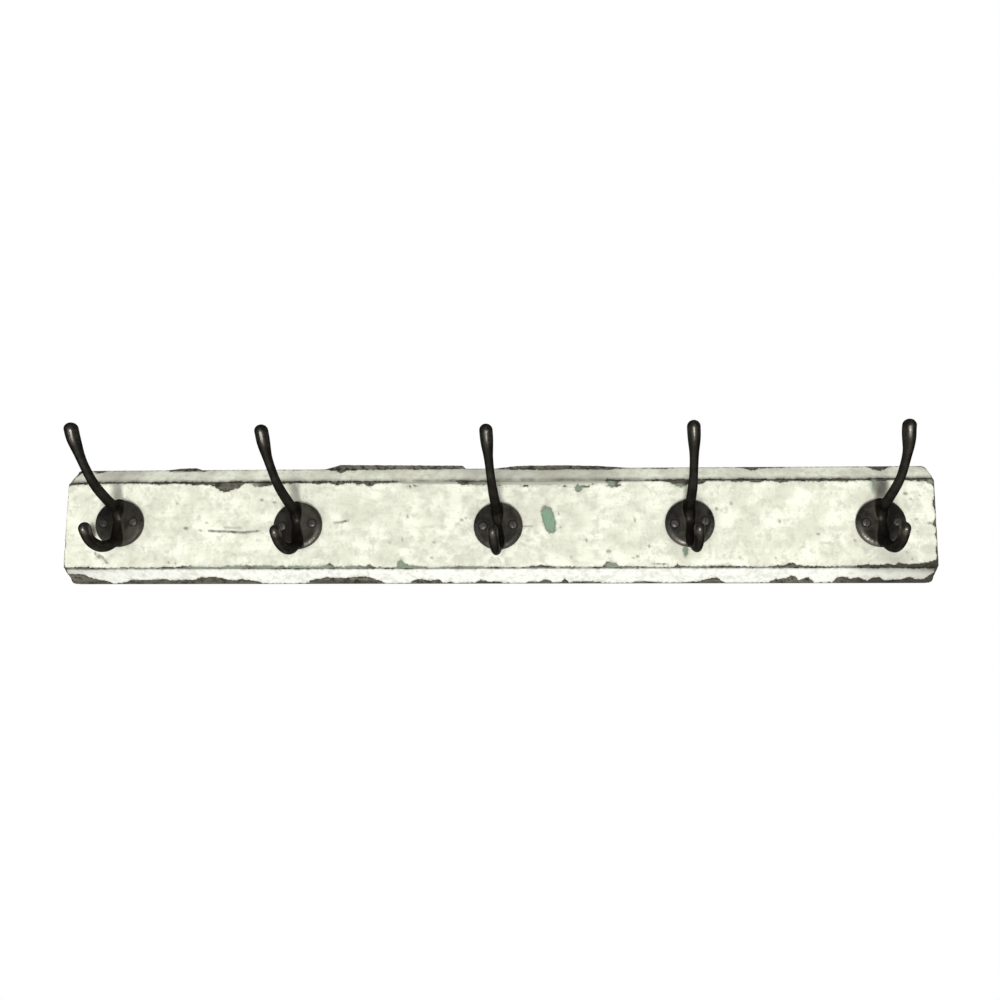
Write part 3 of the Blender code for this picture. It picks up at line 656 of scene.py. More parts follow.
def black_iron():
    """Browned cast iron: near black, satin, rubbed on the tips and dusty in the corners, with painted
    shadow on each plate's outer half and a painted highlight on the lower rims.
    """
    n = Surface("browned_cast_iron")
    rubbed, corner, across, plate = (n.mark(name) for name in ("rubbed", "corner", "across", "plate"))
    patches, grains = n.noise(85, 5.0, 0.6), n.noise(900, 4.0, 0.65)
    colour = n.mix(n.step(patches, 0.38, 0.66), (0.019, 0.0174, 0.0144), (0.034, 0.0308, 0.0248))
    dusty = n.noise(45, 4.0, 0.6)
    face = n.mix(n.step(patches, 0.36, 0.64), (0.011, 0.01, 0.0082), (0.027, 0.0242, 0.0192))
    face = n.mix(n.step(dusty, 0.48, 0.66, 0.0, 0.8), face, (0.056, 0.051, 0.041))
    colour = n.mix(plate, colour, face)
    # Painted shadow: the plate's outer half is darkened where the lower arm's shadow falls.
    colour = n.mix(n.mark("soot_and_painted_shadow"), colour, (0.004, 0.0036, 0.003))
    # The rubbed mark is wear on the tips and, on the lower rims, also a painted highlight: lighter,
    # glossier metal where the lamp's highlight falls.
    worn = n.times(rubbed, n.step(n.noise(340, 5.0, 0.7), 0.3, 0.7, 0.25, 1.0), clamp=True)
    colour = n.mix(n.times(worn, 0.85), colour, (0.16, 0.15, 0.129))
    dust = n.times(corner, n.step(n.noise(300, 4.0, 0.7), 0.35, 0.65), clamp=True)
    colour = n.mix(n.times(dust, 0.7), colour, (0.052, 0.044, 0.033))
    rust = n.step(n.noise(150, 6.0, 0.75), 0.64, 0.72, 0.0, 0.45)
    colour = n.mix(rust, colour, (0.05, 0.03, 0.017))
    n.set("Base Color", colour)
    n.set("Metallic", n.level(n.math("SUBTRACT", plate, worn, True), 0.88, 0.0))
    gloss = n.level(plate, n.step(patches, 0.3, 0.7, 0.34, 0.43), 0.42)
    gloss = n.level(n.times(dust, 0.8), gloss, 0.68)
    n.set("Roughness", n.level(worn, gloss, 0.26))
    n.set("Specular IOR Level", 0.3)
    n.set("Specular Tint", (0.25, 0.25, 0.25))
    parting = n.step(n.math("ABSOLUTE", across), 0.05, 0.45, 1.0, 0.0)
    surface = n.bump(parting, 0.00012, 0.5)
    surface = n.bump(patches, 0.0006, 0.5, surface)
    pits = n.step(n.cells(420), 0.1, 0.28)
    surface = n.bump(pits, 0.0001, 0.45, surface)
    n.set("Normal", n.bump(grains, 0.00014, 0.55, surface))
    return n.owner


def browned_steel():
    """The hook screws: browned steel, darker in the slot, rubbed on the crown."""
    n = Surface("browned_steel")
    rubbed = n.mark("rubbed")
    patches = n.noise(500, 5.0, 0.65)
    colour = n.mix(n.step(patches, 0.35, 0.68), (0.017, 0.0155, 0.0127), (0.034, 0.0303, 0.0244))
    worn = n.times(rubbed, n.step(n.noise(900, 4.0, 0.7), 0.35, 0.65), clamp=True)
    n.set("Base Color", n.mix(worn, colour, (0.068, 0.063, 0.053)))
    n.set("Metallic", n.step(worn, 0.0, 1.0, 0.15, 0.4))
    n.set("Roughness", n.step(patches, 0.3, 0.7, 0.4, 0.52))
    turned_lines = n.noise(1800, 3.0, 0.6)
    n.set("Normal", n.bump(turned_lines, 0.00008, 0.5, n.bump(patches, 0.0002, 0.4)))
    return n.owner


def zinc(name, roughness):
    """Dulled zinc plate with faint spangle, white bloom and a few rust specks."""
    n = Surface(name)
    spangle, bloom = n.cells(700), n.noise(120, 6.0, 0.7)
    colour = n.mix(n.step(spangle, 0.1, 0.8), (0.5, 0.51, 0.52), (0.6, 0.61, 0.62))
    bloomed = n.step(bloom, 0.52, 0.72, 0.0, 0.6)
    colour = n.mix(bloomed, colour, (0.7, 0.7, 0.68))
    rusted = n.step(n.noise(240, 6.0, 0.75), 0.66, 0.72, 0.0, 0.9)
    n.set("Base Color", n.mix(rusted, colour, (0.18, 0.085, 0.04)))
    n.set("Metallic", n.level(rusted, n.step(bloomed, 0.0, 0.6, 0.5, 0.25), 0.0))
    n.set("Roughness", n.level(rusted, n.step(bloom, 0.3, 0.7, roughness, roughness + 0.2), 0.85))
    n.set("Normal", n.bump(bloom, 0.0001, 0.4, n.bump(n.noise(1600, 3.0), 0.00003, 0.5)))
    return n.owner


def floor_surface():
    """Plain pale floor with the slightest unevenness."""
    n = Surface("pale_floor")
    n.set("Base Color", n.mix(n.noise(3.0, 2.0), (0.74, 0.74, 0.735), (0.76, 0.76, 0.755)))
    n.set("Roughness", 0.9)
    n.set("Emission Color", (1.0, 1.0, 1.0))
    n.set("Emission Strength", 0.06)
    return n.owner


# ---- plank


def section():
    """The plank's section: (y, z, kind) stations from the top back corner over the front to the
    bottom back corner, then up the back. Spacing is closest at the arrises and the quirks."""
    front, sunk = -PLANK_THICKNESS, -(PLANK_THICKNESS - QUIRK_DEPTH)
    edge = [(y, HALF_HEIGHT, "edge") for y in (-0.35, -0.62, -0.72, -2.4, -4.4, -6.4, -8.2, -8.66, -8.76)]
    radius = 0.8
    arris = [
        (-EDGE_THICKNESS + radius - radius * sin(a), HALF_HEIGHT - radius + radius * cos(a), "edge")
        for a in (0.05, 0.55, 1.05)
    ]
    bevel_rows = 20
    bevel = []
    for i in range(1, bevel_rows + 1):
        t = i / bevel_rows
        y = -EDGE_THICKNESS + t * (sunk + EDGE_THICKNESS) - BEVEL_CROWN * sin(pi * t)
        bevel.append((y, HALF_HEIGHT - 0.6 - t * (HALF_HEIGHT - 0.6 - HALF_FIELD - 1.1), "bevel"))
    quirk = [
        (sunk + 0.55, HALF_FIELD + 0.75, "quirk"), (sunk + 0.85, HALF_FIELD + 0.35, "quirk"),
        (sunk + 0.5, HALF_FIELD + 0.05, "quirk"), (sunk - 0.55, HALF_FIELD - 0.05, "quirk"),
        (front + 0.45, HALF_FIELD - 0.15, "field"), (front + 0.12, HALF_FIELD - 0.45, "field"),
    ]
    half = edge + arris + bevel + quirk
    rows = 73
    reach = HALF_FIELD - 1.1
    field = [(front, reach - 2 * reach * i / (rows - 1), "field") for i in range(rows)]
    back_rows = 22
    back = [(0.0, -HALF_HEIGHT + 2 * HALF_HEIGHT * i / (back_rows - 1), "back") for i in range(back_rows)]
    return half + field + [(y, -z, kind) for y, z, kind in half[::-1]] + back


def stations_along():
    """Stations along x with the round-over of the two end arrises: (x, inset). The first and the
    last lie a little inside the arris and bound the sawn end faces."""
    ease, columns = END_EASE, 506
    ends = [(0.0, END_INSET)]
    ends += [(ease * (1 - cos(a)), ease * (1 - sin(a))) for a in np.linspace(0, pi / 2, 5)]
    middle = np.linspace(-PLANK_HALF_LENGTH + ease + 0.6, PLANK_HALF_LENGTH - ease - 0.6, columns)
    left = [(-PLANK_HALF_LENGTH + out, inset) for out, inset in ends]
    right = [(PLANK_HALF_LENGTH - out, inset) for out, inset in ends[::-1]]
    return left + [(x, 0.0) for x in middle] + right


def spot_loss(x, z, spots):
    """How far inside the nearest of some oval spots each point lies, in millimetres."""
    best = np.full(x.shape, -9.0)
    for cx, cz, rx, rz in spots:
        near = (np.abs(x - cx) < rx + 9) & (np.abs(z - cz) < rz + 9)
        d = np.hypot((x[near] - cx) / rx, (z[near] - cz) / rz)
        best[near] = np.maximum(best[near], (1 - d) * min(rx, rz))
    return best


def scratch_loss(x, z):
    """The same for the scratches."""
    best = np.full(x.shape, -9.0)
    for x0, x1, z0, z1, half in SCRATCHES:
        length = (x1 - x0) ** 2 + (z1 - z0) ** 2
        t = np.clip(((x - x0) * (x1 - x0) + (z - z0) * (z1 - z0)) / length, 0, 1)
        best = np.maximum(best, half - np.hypot(x - x0 - t * (x1 - x0), z - z0 - t * (z1 - z0)))
    return best


def patch_loss(x, z):
    """The same for the one large patch, a squarish oval."""
    cx, cz, rx, rz, lean = GREEN_PATCH
    u = (x - cx) * cos(lean) + (z - cz) * sin(lean)
    v = (z - cz) * cos(lean) - (x - cx) * sin(lean)
    return (1 - (np.abs(u / rx) ** 2.4 + np.abs(v / rz) ** 2.4) ** (1 / 2.4)) * rx


def grime_and_shadow(x, z, power):
    """The darkest of the spots of grime and painted shadow at each point of the field, each share raised to
    a power.
    """
    darkest = np.zeros(x.shape)
    for cx, cz, rx, rz, share in GRIME_AND_PAINTED_SHADOW:
        fade = smooth_step(1.0, 0.25, np.hypot((x - cx) / rx, (z - cz) / rz))
        darkest = np.maximum(darkest, share**power * fade)
    return np.where(on_field(z), darkest, 0)


def along(table, where):
    """A line of listed (place, value) points read at each place."""
    places, values = zip(*table)
    return np.interp(where, places, values)


def on_field(z):
    """Whether each point's height is that of the raised field."""
    return np.abs(z) < HALF_FIELD + 0.2


def missing_paint(x, y, z, kinds, uneven):
    """How far inside bare wood each point lies, in millimetres, below 0 where the paint holds."""
    clean = along(TOP_QUIRK_CLEAN, x)
    low_edge = along(BOTTOM_EDGE_LOSS, x) - (z + HALF_HEIGHT)
    high_edge = along(TOP_EDGE_LOSS, x) - (HALF_HEIGHT - z)
    low_quirk = along(BOTTOM_QUIRK_LOSS, x) - (z + HALF_FIELD)
    high_quirk = along(TOP_QUIRK_LOSS, x) - (HALF_FIELD - z)
    right = along(RIGHT_END_LOSS, z) - (PLANK_HALF_LENGTH - x)
    left = along(LEFT_END_LOSS, z) - (PLANK_HALF_LENGTH + x)
    quirk_line = np.where(z > 0, 0.45 - 2.2 * clean, along(BOTTOM_QUIRK, x)) + 0.75 * uneven
    bare = np.maximum.reduce([
        np.where(z < -HALF_FIELD, low_edge, -9),
        np.where(z > HALF_FIELD, high_edge, -9),
        np.where(on_field(z), np.maximum(low_quirk, high_quirk), -9),
        quirk_line - np.abs(np.abs(z) - HALF_FIELD - 0.75),
        np.maximum(right, left) - 0.4,
        spot_loss(x, z, CHIPS) + 0.5,
        spot_loss(x, z, UNDERCOAT_CHIPS) + 0.3,
        scratch_loss(x, z) - 0.35,
        patch_loss(x, z) * 1.4,
    ])
    bare = np.where((kinds == "edge") & (y > -EDGE_THICKNESS + 0.4), 9.0, bare)
    return np.where(on_field(z) & (z > 35), bare - 0.7 * clean, bare)


def undercoat_shown(x, z):
    """How far inside the green undercoat each point lies, in millimetres."""
    chips = np.maximum(spot_loss(x, z, UNDERCOAT_CHIPS), patch_loss(x, z) + 1.2)
    return np.maximum(chips, spot_loss(x, z, GREEN_SPOTS) - 0.8)


def greyed_paint(x, z, low_front):
    """Share of grey in the cream: painted shade on the worn slope and across the middle of the field, the
    greyed bevels, and the grime and painted arm shadow near the hooks.
    """
    # Painted shade: the worn slope faces up, away from the lamp, and is greyed for it, with some dirt.
    slope = smooth_step(0.0, 1.0, along(TOP_SLOPE, x) - (HALF_FIELD - z)) * 0.85
    # Painted shade: the middle of the field, which the lamp lights most, is greyed.
    middle = 0.12 * smooth_step(330, 160, np.abs(x))
    shade = np.where(on_field(z), np.maximum(slope, middle), 0)
    shade = np.where(z > HALF_FIELD, along(TOP_BEVEL_GREYING, x) * 0.85 - 0.14, shade)
    shade = np.where(low_front, along(BOTTOM_BEVEL_DIRT, x), shade)
    return np.where(on_field(z), np.maximum(shade, grime_and_shadow(x, z, 1)), shade)


def dirt_and_shadow_on(x, z, kinds, bare, uneven):
    """Share of dirt and painted shadow: dirt in the quirks, on the low bevel, in the smudges and on the
    right-hand chips, and the grime and painted arm shadow near the hooks.
    """
    low = z < -HALF_FIELD
    reach = np.where(z > HALF_FIELD + 0.8, 2.7, np.where(z > 0, 1.5, 1.2))
    near_quirk = np.exp(-(((np.abs(z) - HALF_FIELD - 0.8) / reach) ** 2))
    depth = np.where(z > 0, 0.66, 0.46 + 0.3 * along(BOTTOM_QUIRK, x))
    dirt_and_shadow = near_quirk * (depth + 0.35 * uneven)
    upper = np.maximum(dirt_and_shadow, 0.12 * smooth_step(6, 0, z - HALF_FIELD))
    dirt_and_shadow = np.where(z > HALF_FIELD, upper, dirt_and_shadow)
    washed = 1.3 * along(BOTTOM_BEVEL_DIRT, x) * smooth_step(8, 0, -z - HALF_FIELD)
    dirt_and_shadow = np.where(low, dirt_and_shadow * 0.8 + washed, dirt_and_shadow)
    # The grime spots add dirt, and painted arm shadow above the plates and behind the first hook's lower
    # arm.
    dirt_and_shadow = np.maximum(dirt_and_shadow, 0.7 * grime_and_shadow(x, z, 3))
    blackened = np.maximum(dirt_and_shadow, 1.7 * smooth_step(325, 380, x))
    dirt_and_shadow = np.where((bare > 0.4) & (z < -36), blackened, dirt_and_shadow)
    smudged = np.maximum(spot_loss(x, z, SMUDGES) + 0.4, scratch_loss(x, z) + 0.5)
    return np.maximum(dirt_and_shadow, 0.78 * smooth_step(-0.4, 1.2, smudged) * (kinds == "field"))


def plank_marks(x, y, z, kinds):
    """Per-point paint marks: bare and green in mm (above 0 is lost), the rest as shares."""
    uneven = cloud(np.stack([x, 0 * x, 40 * np.sign(z)], axis=1), 12, 7)
    low_front = (z < -HALF_FIELD) & (y < -EDGE_THICKNESS + 0.9)
    bare = missing_paint(x, y, z, kinds, uneven)
    return {
        "bare": bare,
        "green": undercoat_shown(x, z),
        "raw": (kinds == "back").astype(float),
        "shade": greyed_paint(x, z, low_front),
        "dirt_and_shadow": dirt_and_shadow_on(x, z, kinds, bare, uneven),
        "pale": low_front.astype(float),
        "sawn_end": np.zeros(x.shape),
    }


def tongue_rise(x, y):
    """Height of the torn tongue over the top edge."""
    rise = np.zeros(x.shape)
    for ridge in TONGUE:
        rise = np.maximum(rise, np.where((x > ridge[0][0]) & (x < ridge[-1][0]), along(ridge, x), 0))
    across = smooth_step(TONGUE_FRONT + 0.02, TONGUE_FRONT + 0.14, y)
    across = across * smooth_step(TONGUE_BACK, TONGUE_BACK - 0.12, y)
    tilt = 0.8 + 0.2 * np.clip((y - TONGUE_FRONT) / 8, 0, 1)
    return rise * across * tilt


def plank_shape():
    """Points, faces and marks of the worn plank before it is drilled."""
    profile, stations = section(), stations_along()
    count, length = len(profile), len(stations)
    y0, z0, kinds = (np.tile(column, length) for column in zip(*profile))
    x0, inset = (np.repeat(column, count) for column in zip(*stations))
    marks = plank_marks(x0, y0, z0, kinds)
    end_face = inset > END_EASE + 0.1
    sawn_marks = {"bare": 9.0, "green": -9.0, "raw": 0.0, "shade": 0.0, "sawn_end": 1.0}
    for name, value in sawn_marks.items():
        marks[name] = np.where(end_face, value, marks[name])

    pts = np.stack([x0, y0, z0], axis=1)
    wavy = cloud(pts * (0.12, 1, 1), 26, 1)
    ragged = cloud(pts, 3.2, 2, 2)
    bevel = np.isin(kinds, ("bevel", "quirk"))
    painted = bevel | (kinds == "field")
    outward = np.zeros_like(pts)
    outward[kinds == "field"] = (0, -1, 0)
    outward[bevel, 1] = -0.755
    outward[bevel, 2] = np.sign(z0[bevel]) * 0.655
    loss = marks["bare"] + 0.8 * ragged
    depth = 0.32 * smooth_step(-0.3, 0.5, loss)
    to_edge = HALF_HEIGHT - np.abs(z0)
    broken = smooth_step(0.0, 3.5, loss) * smooth_step(13, 2, to_edge) * (z0 < 0)
    depth = depth + broken * (0.8 + 0.5 * ragged)
    to_end = PLANK_HALF_LENGTH - np.abs(x0)
    depth = depth + 0.6 * smooth_step(-0.2, 2.5, loss) * smooth_step(5, 0.5, to_end)
    fall = np.clip(along(TOP_SLOPE, x0) - (HALF_FIELD - z0), 0, None)
    depth = depth + np.where((kinds == "field") & (z0 > 0), 0.26 * fall, 0)
    depth = depth + 0.1 + 0.1 * wavy
    pts -= outward * np.where(painted, np.maximum(depth, 0.0), 0)[:, None]

    groove = (kinds == "quirk") & (z0 > 0)
    level = QUIRK_DEPTH - PLANK_THICKNESS - 0.15
    pts[groove, 1] -= along(TOP_QUIRK_CLEAN, x0[groove]) * np.clip(pts[groove, 1] - level, 0, None)
    edge = (kinds == "edge") & (y0 < -0.5)
    pts[edge, 2] -= np.sign(z0[edge]) * (0.12 + 0.12 * wavy[edge])
    lower = (kinds == "edge") & (z0 < 0)
    worn = smooth_step(0.5, 5.0, along(BOTTOM_EDGE_LOSS, x0[lower])) * smooth_step(-6, -9.8, y0[lower])
    pts[lower, 2] += 0.5 * worn * (1 + 0.5 * ragged[lower])
    upper = (kinds == "edge") & (z0 > 0)
    splinter = 1 + 0.1 * ragged[upper] + 0.06 * cloud(pts[upper] * (0.35, 3, 1), 4, 5, 2)
    pts[upper, 2] += np.minimum(tongue_rise(x0, y0)[upper] * splinter, TONGUE_LIMIT)
    top_right, top_left, bottom = CORNER_ROUND
    corner = np.where(z0 > 0, np.where(x0 > 0, top_right, top_left), bottom)
    drop = corner - np.sqrt(corner**2 - np.clip(corner - to_end, 0, None) ** 2)
    pts[:, 2] -= np.sign(z0) * drop * np.clip((np.abs(z0) - HALF_FIELD) / (HALF_HEIGHT - HALF_FIELD), 0, 1)
    centre = np.array([0, -PLANK_THICKNESS / 2, 0])
    half = np.array([1, PLANK_THICKNESS / 2, HALF_HEIGHT])
    pts -= np.where(inset[:, None] > 0, (pts - centre) / half * inset[:, None] * (0, 1, 1), 0)
    sawn = 0.35 * cloud(pts * (0, 1, 1), 18, 4) * smooth_step(2.5, 0.5, to_end)
    pts[:, 0] -= np.sign(x0) * np.abs(sawn)

    index = np.arange(count * length).reshape(length, count)
    here, there = index[:-1], index[1:]
    faces = np.stack([here, np.roll(here, -1, 1), np.roll(there, -1, 1), there], axis=2).reshape(-1, 4)
    faces = [list(f) for f in faces] + [list(index[0][::-1]), list(index[-1])]
    return pts, faces, marks


def cutter(points, y_from, y_to):
    """A closed prism along y from an outline of (x, z) points, in millimetres. Its marks give the
    walls that it leaves in the plank the look of raw timber."""
    n = len(points)
    corners = [(x, y, z) for y in (y_from, y_to) for x, z in points]
    sides = [(n + i, n + (i + 1) % n, (i + 1) % n, i) for i in range(n)]
    ends = [tuple(range(n)), tuple(range(n, 2 * n))[::-1]]
    marks = dict.fromkeys(("green", "shade", "dirt_and_shadow", "pale", "sawn_end"), np.zeros(2 * n))
    marks.update(bare=np.full(2 * n, 9.0), raw=np.ones(2 * n))
    return mesh_object("cutter", corners, sides + ends, marks)


def arc(cx, cz, radius, start, end, steps):
    """Points of an arc, its ends included, from angle start to angle end."""
    angles = [start + (end - start) * i / steps for i in range(steps + 1)]
    return [(cx + radius * cos(a), cz + radius * sin(a)) for a in angles]


def circle(cx, cz, radius, sides):
    return arc(cx, cz, radius, 0, 2 * pi, sides)[:-1]


def upright_slot(cx, cz, radius, low, high, steps=12):
    """Outline of a slot with round ends, whose centres lie low and high of the slot's own."""
    top = arc(cx, cz + high, radius, 0, pi, steps)
    return top + arc(cx, cz + low, radius, pi, 2 * pi, steps)


def rounded_box(cx, cz, half_x, half_z, corner, steps=6):
    """Outline of a box with round corners."""
    points = []
    for turn, (sx, sz) in enumerate(((1, 1), (-1, 1), (-1, -1), (1, -1))):
        x, z = cx + sx * (half_x - corner), cz + sz * (half_z - corner)
        points += arc(x, z, corner, turn * pi / 2, (turn + 1) * pi / 2, steps)
    return points


def box_mm(node):
    """The low and the high corner of a CAD node's box, in millimetres."""
    low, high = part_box(node)
    return np.array(low) / MM, np.array(high) / MM


def centre_mm(node):
    low, high = box_mm(node)
    return (low + high) / 2


def make_plank(surface):
    points, faces, marks = plank_shape()
    plank = mesh_object("painted_plank", points, faces, marks)
    cutters = []
    for side in ("left", "right"):
        plate = f"hanger_plate_{side}"
        (low, high), (cx, _, cz) = box_mm(plate), centre_mm(plate)
        half_x, _, half_z = (high - low) / 2 + PLATE_GAP
        recess = rounded_box(cx, cz, half_x, half_z, HANGER_CORNER + PLATE_GAP)
        cutters.append(cutter(recess, low[1] - PLATE_GAP, 4))
        pocket = upright_slot(cx, cz, KEY_POCKET[0], *KEY_SLOT[1:])
        cutters.append(cutter(pocket, -KEY_POCKET[1], 3))
        for level in ("upper", "lower"):
            screw = f"hanger_{side}_screw_{level}"
            (cx, _, cz), tip = centre_mm(screw), box_mm(screw)[0]
            hole = circle(cx, cz, HANGER_SCREW_SHANK + PLATE_GAP, HOLE_SIDES)
            cutters.append(cutter(hole, tip[1] - PLATE_GAP, 2))
    for number in range(1, HOOK_COUNT + 1):
        for side in ("left", "right"):
            screw = f"hook_{number}_screw_{side}"
            (cx, _, cz), point = centre_mm(screw), box_mm(screw)[1]
            hole = circle(cx, cz, SCREW_HOLE_RADIUS, HOLE_SIDES)
            cutters.append(cutter(hole, -PLANK_THICKNESS - 4, point[1] + PLATE_GAP))
    for tool in cutters:
        cut = plank.modifiers.new("cut", "BOOLEAN")
        cut.operation, cut.object, cut.solver = "DIFFERENCE", tool, "MANIFOLD"
    bpy.context.view_layer.update()
    drilled = plank.evaluated_get(bpy.context.evaluated_depsgraph_get())
    mesh = bpy.data.meshes.new_from_object(drilled)
    plank.modifiers.clear()
    plank.data = mesh
    for tool in cutters:
        bpy.data.objects.remove(tool, do_unlink=True)
    mesh.set_sharp_from_angle(angle=radians(38))
    finish_piece(plank, surface, "moulded_plank")


# ---- hooks


def curve_through(stations, steps):
    """The stations of an arm with smooth ones between them (Catmull-Rom)."""
    p = [np.array(s, float) for s in stations]
    p = [2 * p[0] - p[1]] + p + [2 * p[-1] - p[-2]]
    path = []
    for i in range(1, len(p) - 2):
        a, b, c, d = p[i - 1 : i + 3]
        for t in np.arange(steps) / steps:
            path.append(0.5 * (2 * b + (c - a) * t + (2 * a - 5 * b + 4 * c - d) * t**2
                               + (3 * b - a - 3 * c + d) * t**3))
    return np.array(path + [p[-2]])


def arm_field(stations, x, y, z, square=2.0):
    """Distance to an arm that lies in the plane x = 0, oval across. y is negative in front."""
    path = curve_through(stations, 7)
    away, height = -y[0], z[0]
    best = np.full(np.broadcast(away, height).shape, 1e9)
    half_depth, half_width = np.ones_like(best), np.ones_like(best)
    for a, b in zip(path, path[1:]):
        e, w_away, w_height = b - a, away - a[0], height - a[1]
        t = np.clip((w_away * e[0] + w_height * e[1]) / (e[0] ** 2 + e[1] ** 2), 0, 1)
        distance = np.hypot(w_away - t * e[0], w_height - t * e[1])
        closer = distance < best
        best = np.where(closer, distance, best)
        half_depth = np.where(closer, a[2] + t * e[2], half_depth)
        half_width = np.where(closer, a[3] + t * e[3], half_width)
    u, v = best[None] / half_depth[None], np.abs(x) / half_width[None]
    ratio = (u**square + v**square) ** (1 / square)
    slope = np.hypot(best[None] / half_depth[None] ** 2, np.abs(x) / half_width[None] ** 2) + 1e-6
    return ratio * (ratio - 1) / slope


def plate_outline():
    """The plate's section as (radius, distance in front of the plank), closed on the axis."""
    points = [(0.0, PLATE_GAP), (PLATE_RADIUS - 0.5, PLATE_GAP), (PLATE_RADIUS, PLATE_GAP + 0.4)]
    for i in range(9):
        a = pi / 2 * (1 - i / 8)
        points.append((SHOULDER_START + (PLATE_RADIUS - SHOULDER_START) * sin(a),
                       SHOULDER_LEVEL + SHOULDER_RISE * cos(a)))
    for i in range(1, 7):
        r = SHOULDER_START * (1 - i / 6)
        points.append((r, SHOULDER_LEVEL + SHOULDER_RISE + PLATE_CROWN * (1 - (r / SHOULDER_START) ** 2)))
    return points


def hook_shape():
    """Points, faces and marks of one casting in its own frame, in millimetres."""
    low, high, step = (-26.4, -92.0, -34.0), (26.4, 1.2, 87.0), 0.6
    x, y, z = grid(low, high, step)
    upper = arm_field(UPPER_ARM, x, y, z)
    lower = arm_field(LOWER_ARM, x, y, z)
    spine = arm_field(SPINE, x, y, z, 2.8)
    plate = outline_field(plate_outline(), np.hypot(x, (z + PLATE_DROP) / PLATE_SQUASH), -y)
    stem = blended(blended(spine, upper, 5.0), lower, 5.0)
    body = blended(plate, stem, 1.3)
    seam = np.maximum(0, 1 - np.abs(plate - stem) / 3.0) * smooth_step(1.5, 0.0, np.minimum(plate, stem))
    body = np.maximum(body, y + PLATE_GAP)
    for side in (-1, 1):
        away = np.hypot(x - side * SCREW_OFFSET, z)
        body = carved(body, np.maximum(away - SPOT_RADIUS, SPOT_LEVEL + y), 0.4)
        body = carved(body, away - SCREW_HOLE_RADIUS + 0 * y, 0.4)
    points, faces = net_of(body, low, step, 5)
    plate, stem, seam = (sampled(field, (points - low) / step) for field in (plate, stem, seam))
    x, out, z = points[:, 0], -points[:, 1], points[:, 2]
    tips = 0.62 * smooth_step(62, 74, z)
    tips = tips + smooth_step(-19, -12, z) * smooth_step(42, 50, out) * (z < 5)
    # The lower rim's bright wear is partly a painted highlight: it lies where the lamp's highlight falls.
    rim_glint = smooth_step(PLATE_RADIUS - 6, PLATE_RADIUS - 3, np.hypot(x, z))
    wells = [
        smooth_step(SPOT_RADIUS + 0.9, SPOT_RADIUS - 0.3, np.hypot(x - side * SCREW_OFFSET, z)) * (out < 7)
        for side in (-1, 1)
    ]
    marks = {
        "plate": smooth_step(1.4, 0.2, np.abs(plate)) * smooth_step(0.0, 0.8, stem),
        "rubbed": tips + smooth_step(-27, -31, z) * 0.35,
        "rim_glint": rim_glint * (out < 6) * smooth_step(6, -12, z) * 0.95,
        "corner": np.clip(seam + 0.35 * sum(wells), 0, 1),
        "across": x,
    }
    return points, faces, marks


def hook_place(number):
    """The matrix from a hook's frame to the row frame, in millimetres, from its two screws."""
    left, right = (centre_mm(f"hook_{number}_screw_{side}") for side in ("left", "right"))
    origin = (left + right) / 2
    lean = atan2(right[2] - left[2], right[0] - left[0])
    return Matrix.Translation((origin[0], -PLANK_THICKNESS, origin[2])) @ Matrix.Rotation(-lean, 4, "Y")


def make_hooks(surface):
    points, faces, marks = hook_shape()
    x, out, z = points[:, 0], -points[:, 1], points[:, 2]
    lower = smooth_step(18, 58, out) * smooth_step(12, 4, z)
    upper = smooth_step(8, 18, out) * smooth_step(14, 42, z) * smooth_step(78, 56, z)
    rubbed, rim_glint = marks["rubbed"], marks.pop("rim_glint")
    castings = zip(OUTER_PAINTED_SHADOW, COAT_ARM_SWAY, HAT_ARM_SWAY, RIM_WEAR_AND_GLINT)
    for number, (soot_and_painted_shadow, coat_sway, hat_sway, wear) in enumerate(castings, start=1):
        marks["rubbed"] = np.clip(rubbed + wear * rim_glint, 0, 1)
        # Painted shadow: the lower arm's shadow on the plate's outer half.
        marks["soot_and_painted_shadow"] = abs(soot_and_painted_shadow) * smooth_step(0, 5, x * np.sign(soot_and_painted_shadow)) * marks["plate"]
        swayed = points + np.outer(coat_sway * lower + hat_sway * upper, (1, 0, 0))
        hook = mesh_object(f"cast_hook_{number}", placed(swayed, hook_place(number)), faces, marks)
        finish_piece(hook, surface, f"hook_casting_{number}")


# ---- screws and hangers


def hook_screw_shape():
    """A slotted round-head wood screw: its seat at y = 0, its point along +y."""
    low, high = box_mm("hook_1_screw_left")
    head = -low[1] - PLANK_THICKNESS - SPOT_LEVEL - PLATE_GAP
    reach = high[1] - low[1] - head
    step = 0.26
    corner = (-4.9, -head - 0.8, -4.9)
    x, y, z = grid(corner, (4.9, reach + 0.8, 4.9), step)
    away = np.hypot(x, z)
    rise = head - SCREW_HEAD_WALL
    curve = (SCREW_HEAD_RADIUS**2 + rise**2) / (2 * rise)
    ball = np.sqrt(away**2 + (y + head - curve) ** 2) - curve
    dome = np.maximum(carved(ball, SCREW_HEAD_RADIUS - away, 0.5), y)
    taper = np.clip((reach - y) / SCREW_POINT, 0.02, 1) * SCREW_SHANK_RADIUS
    shank = np.maximum((away - taper) * 0.9, np.maximum(y - reach, -y - 1.0))
    width, depth = SCREW_SLOT
    slot = np.maximum(np.abs(z) - width / 2, y + head - depth) + 0 * x
    body = carved(blended(dome, shank, 0.4), slot, 0.35)
    points, faces = net_of(body, corner, step, 4)
    crown = smooth_step(-SCREW_HEAD_WALL, -head, points[:, 1])
    in_slot = smooth_step(width / 2 + 0.1, width / 2 - 0.1, np.abs(points[:, 2]))
    return points, faces, {"rubbed": crown * (1 - in_slot)}


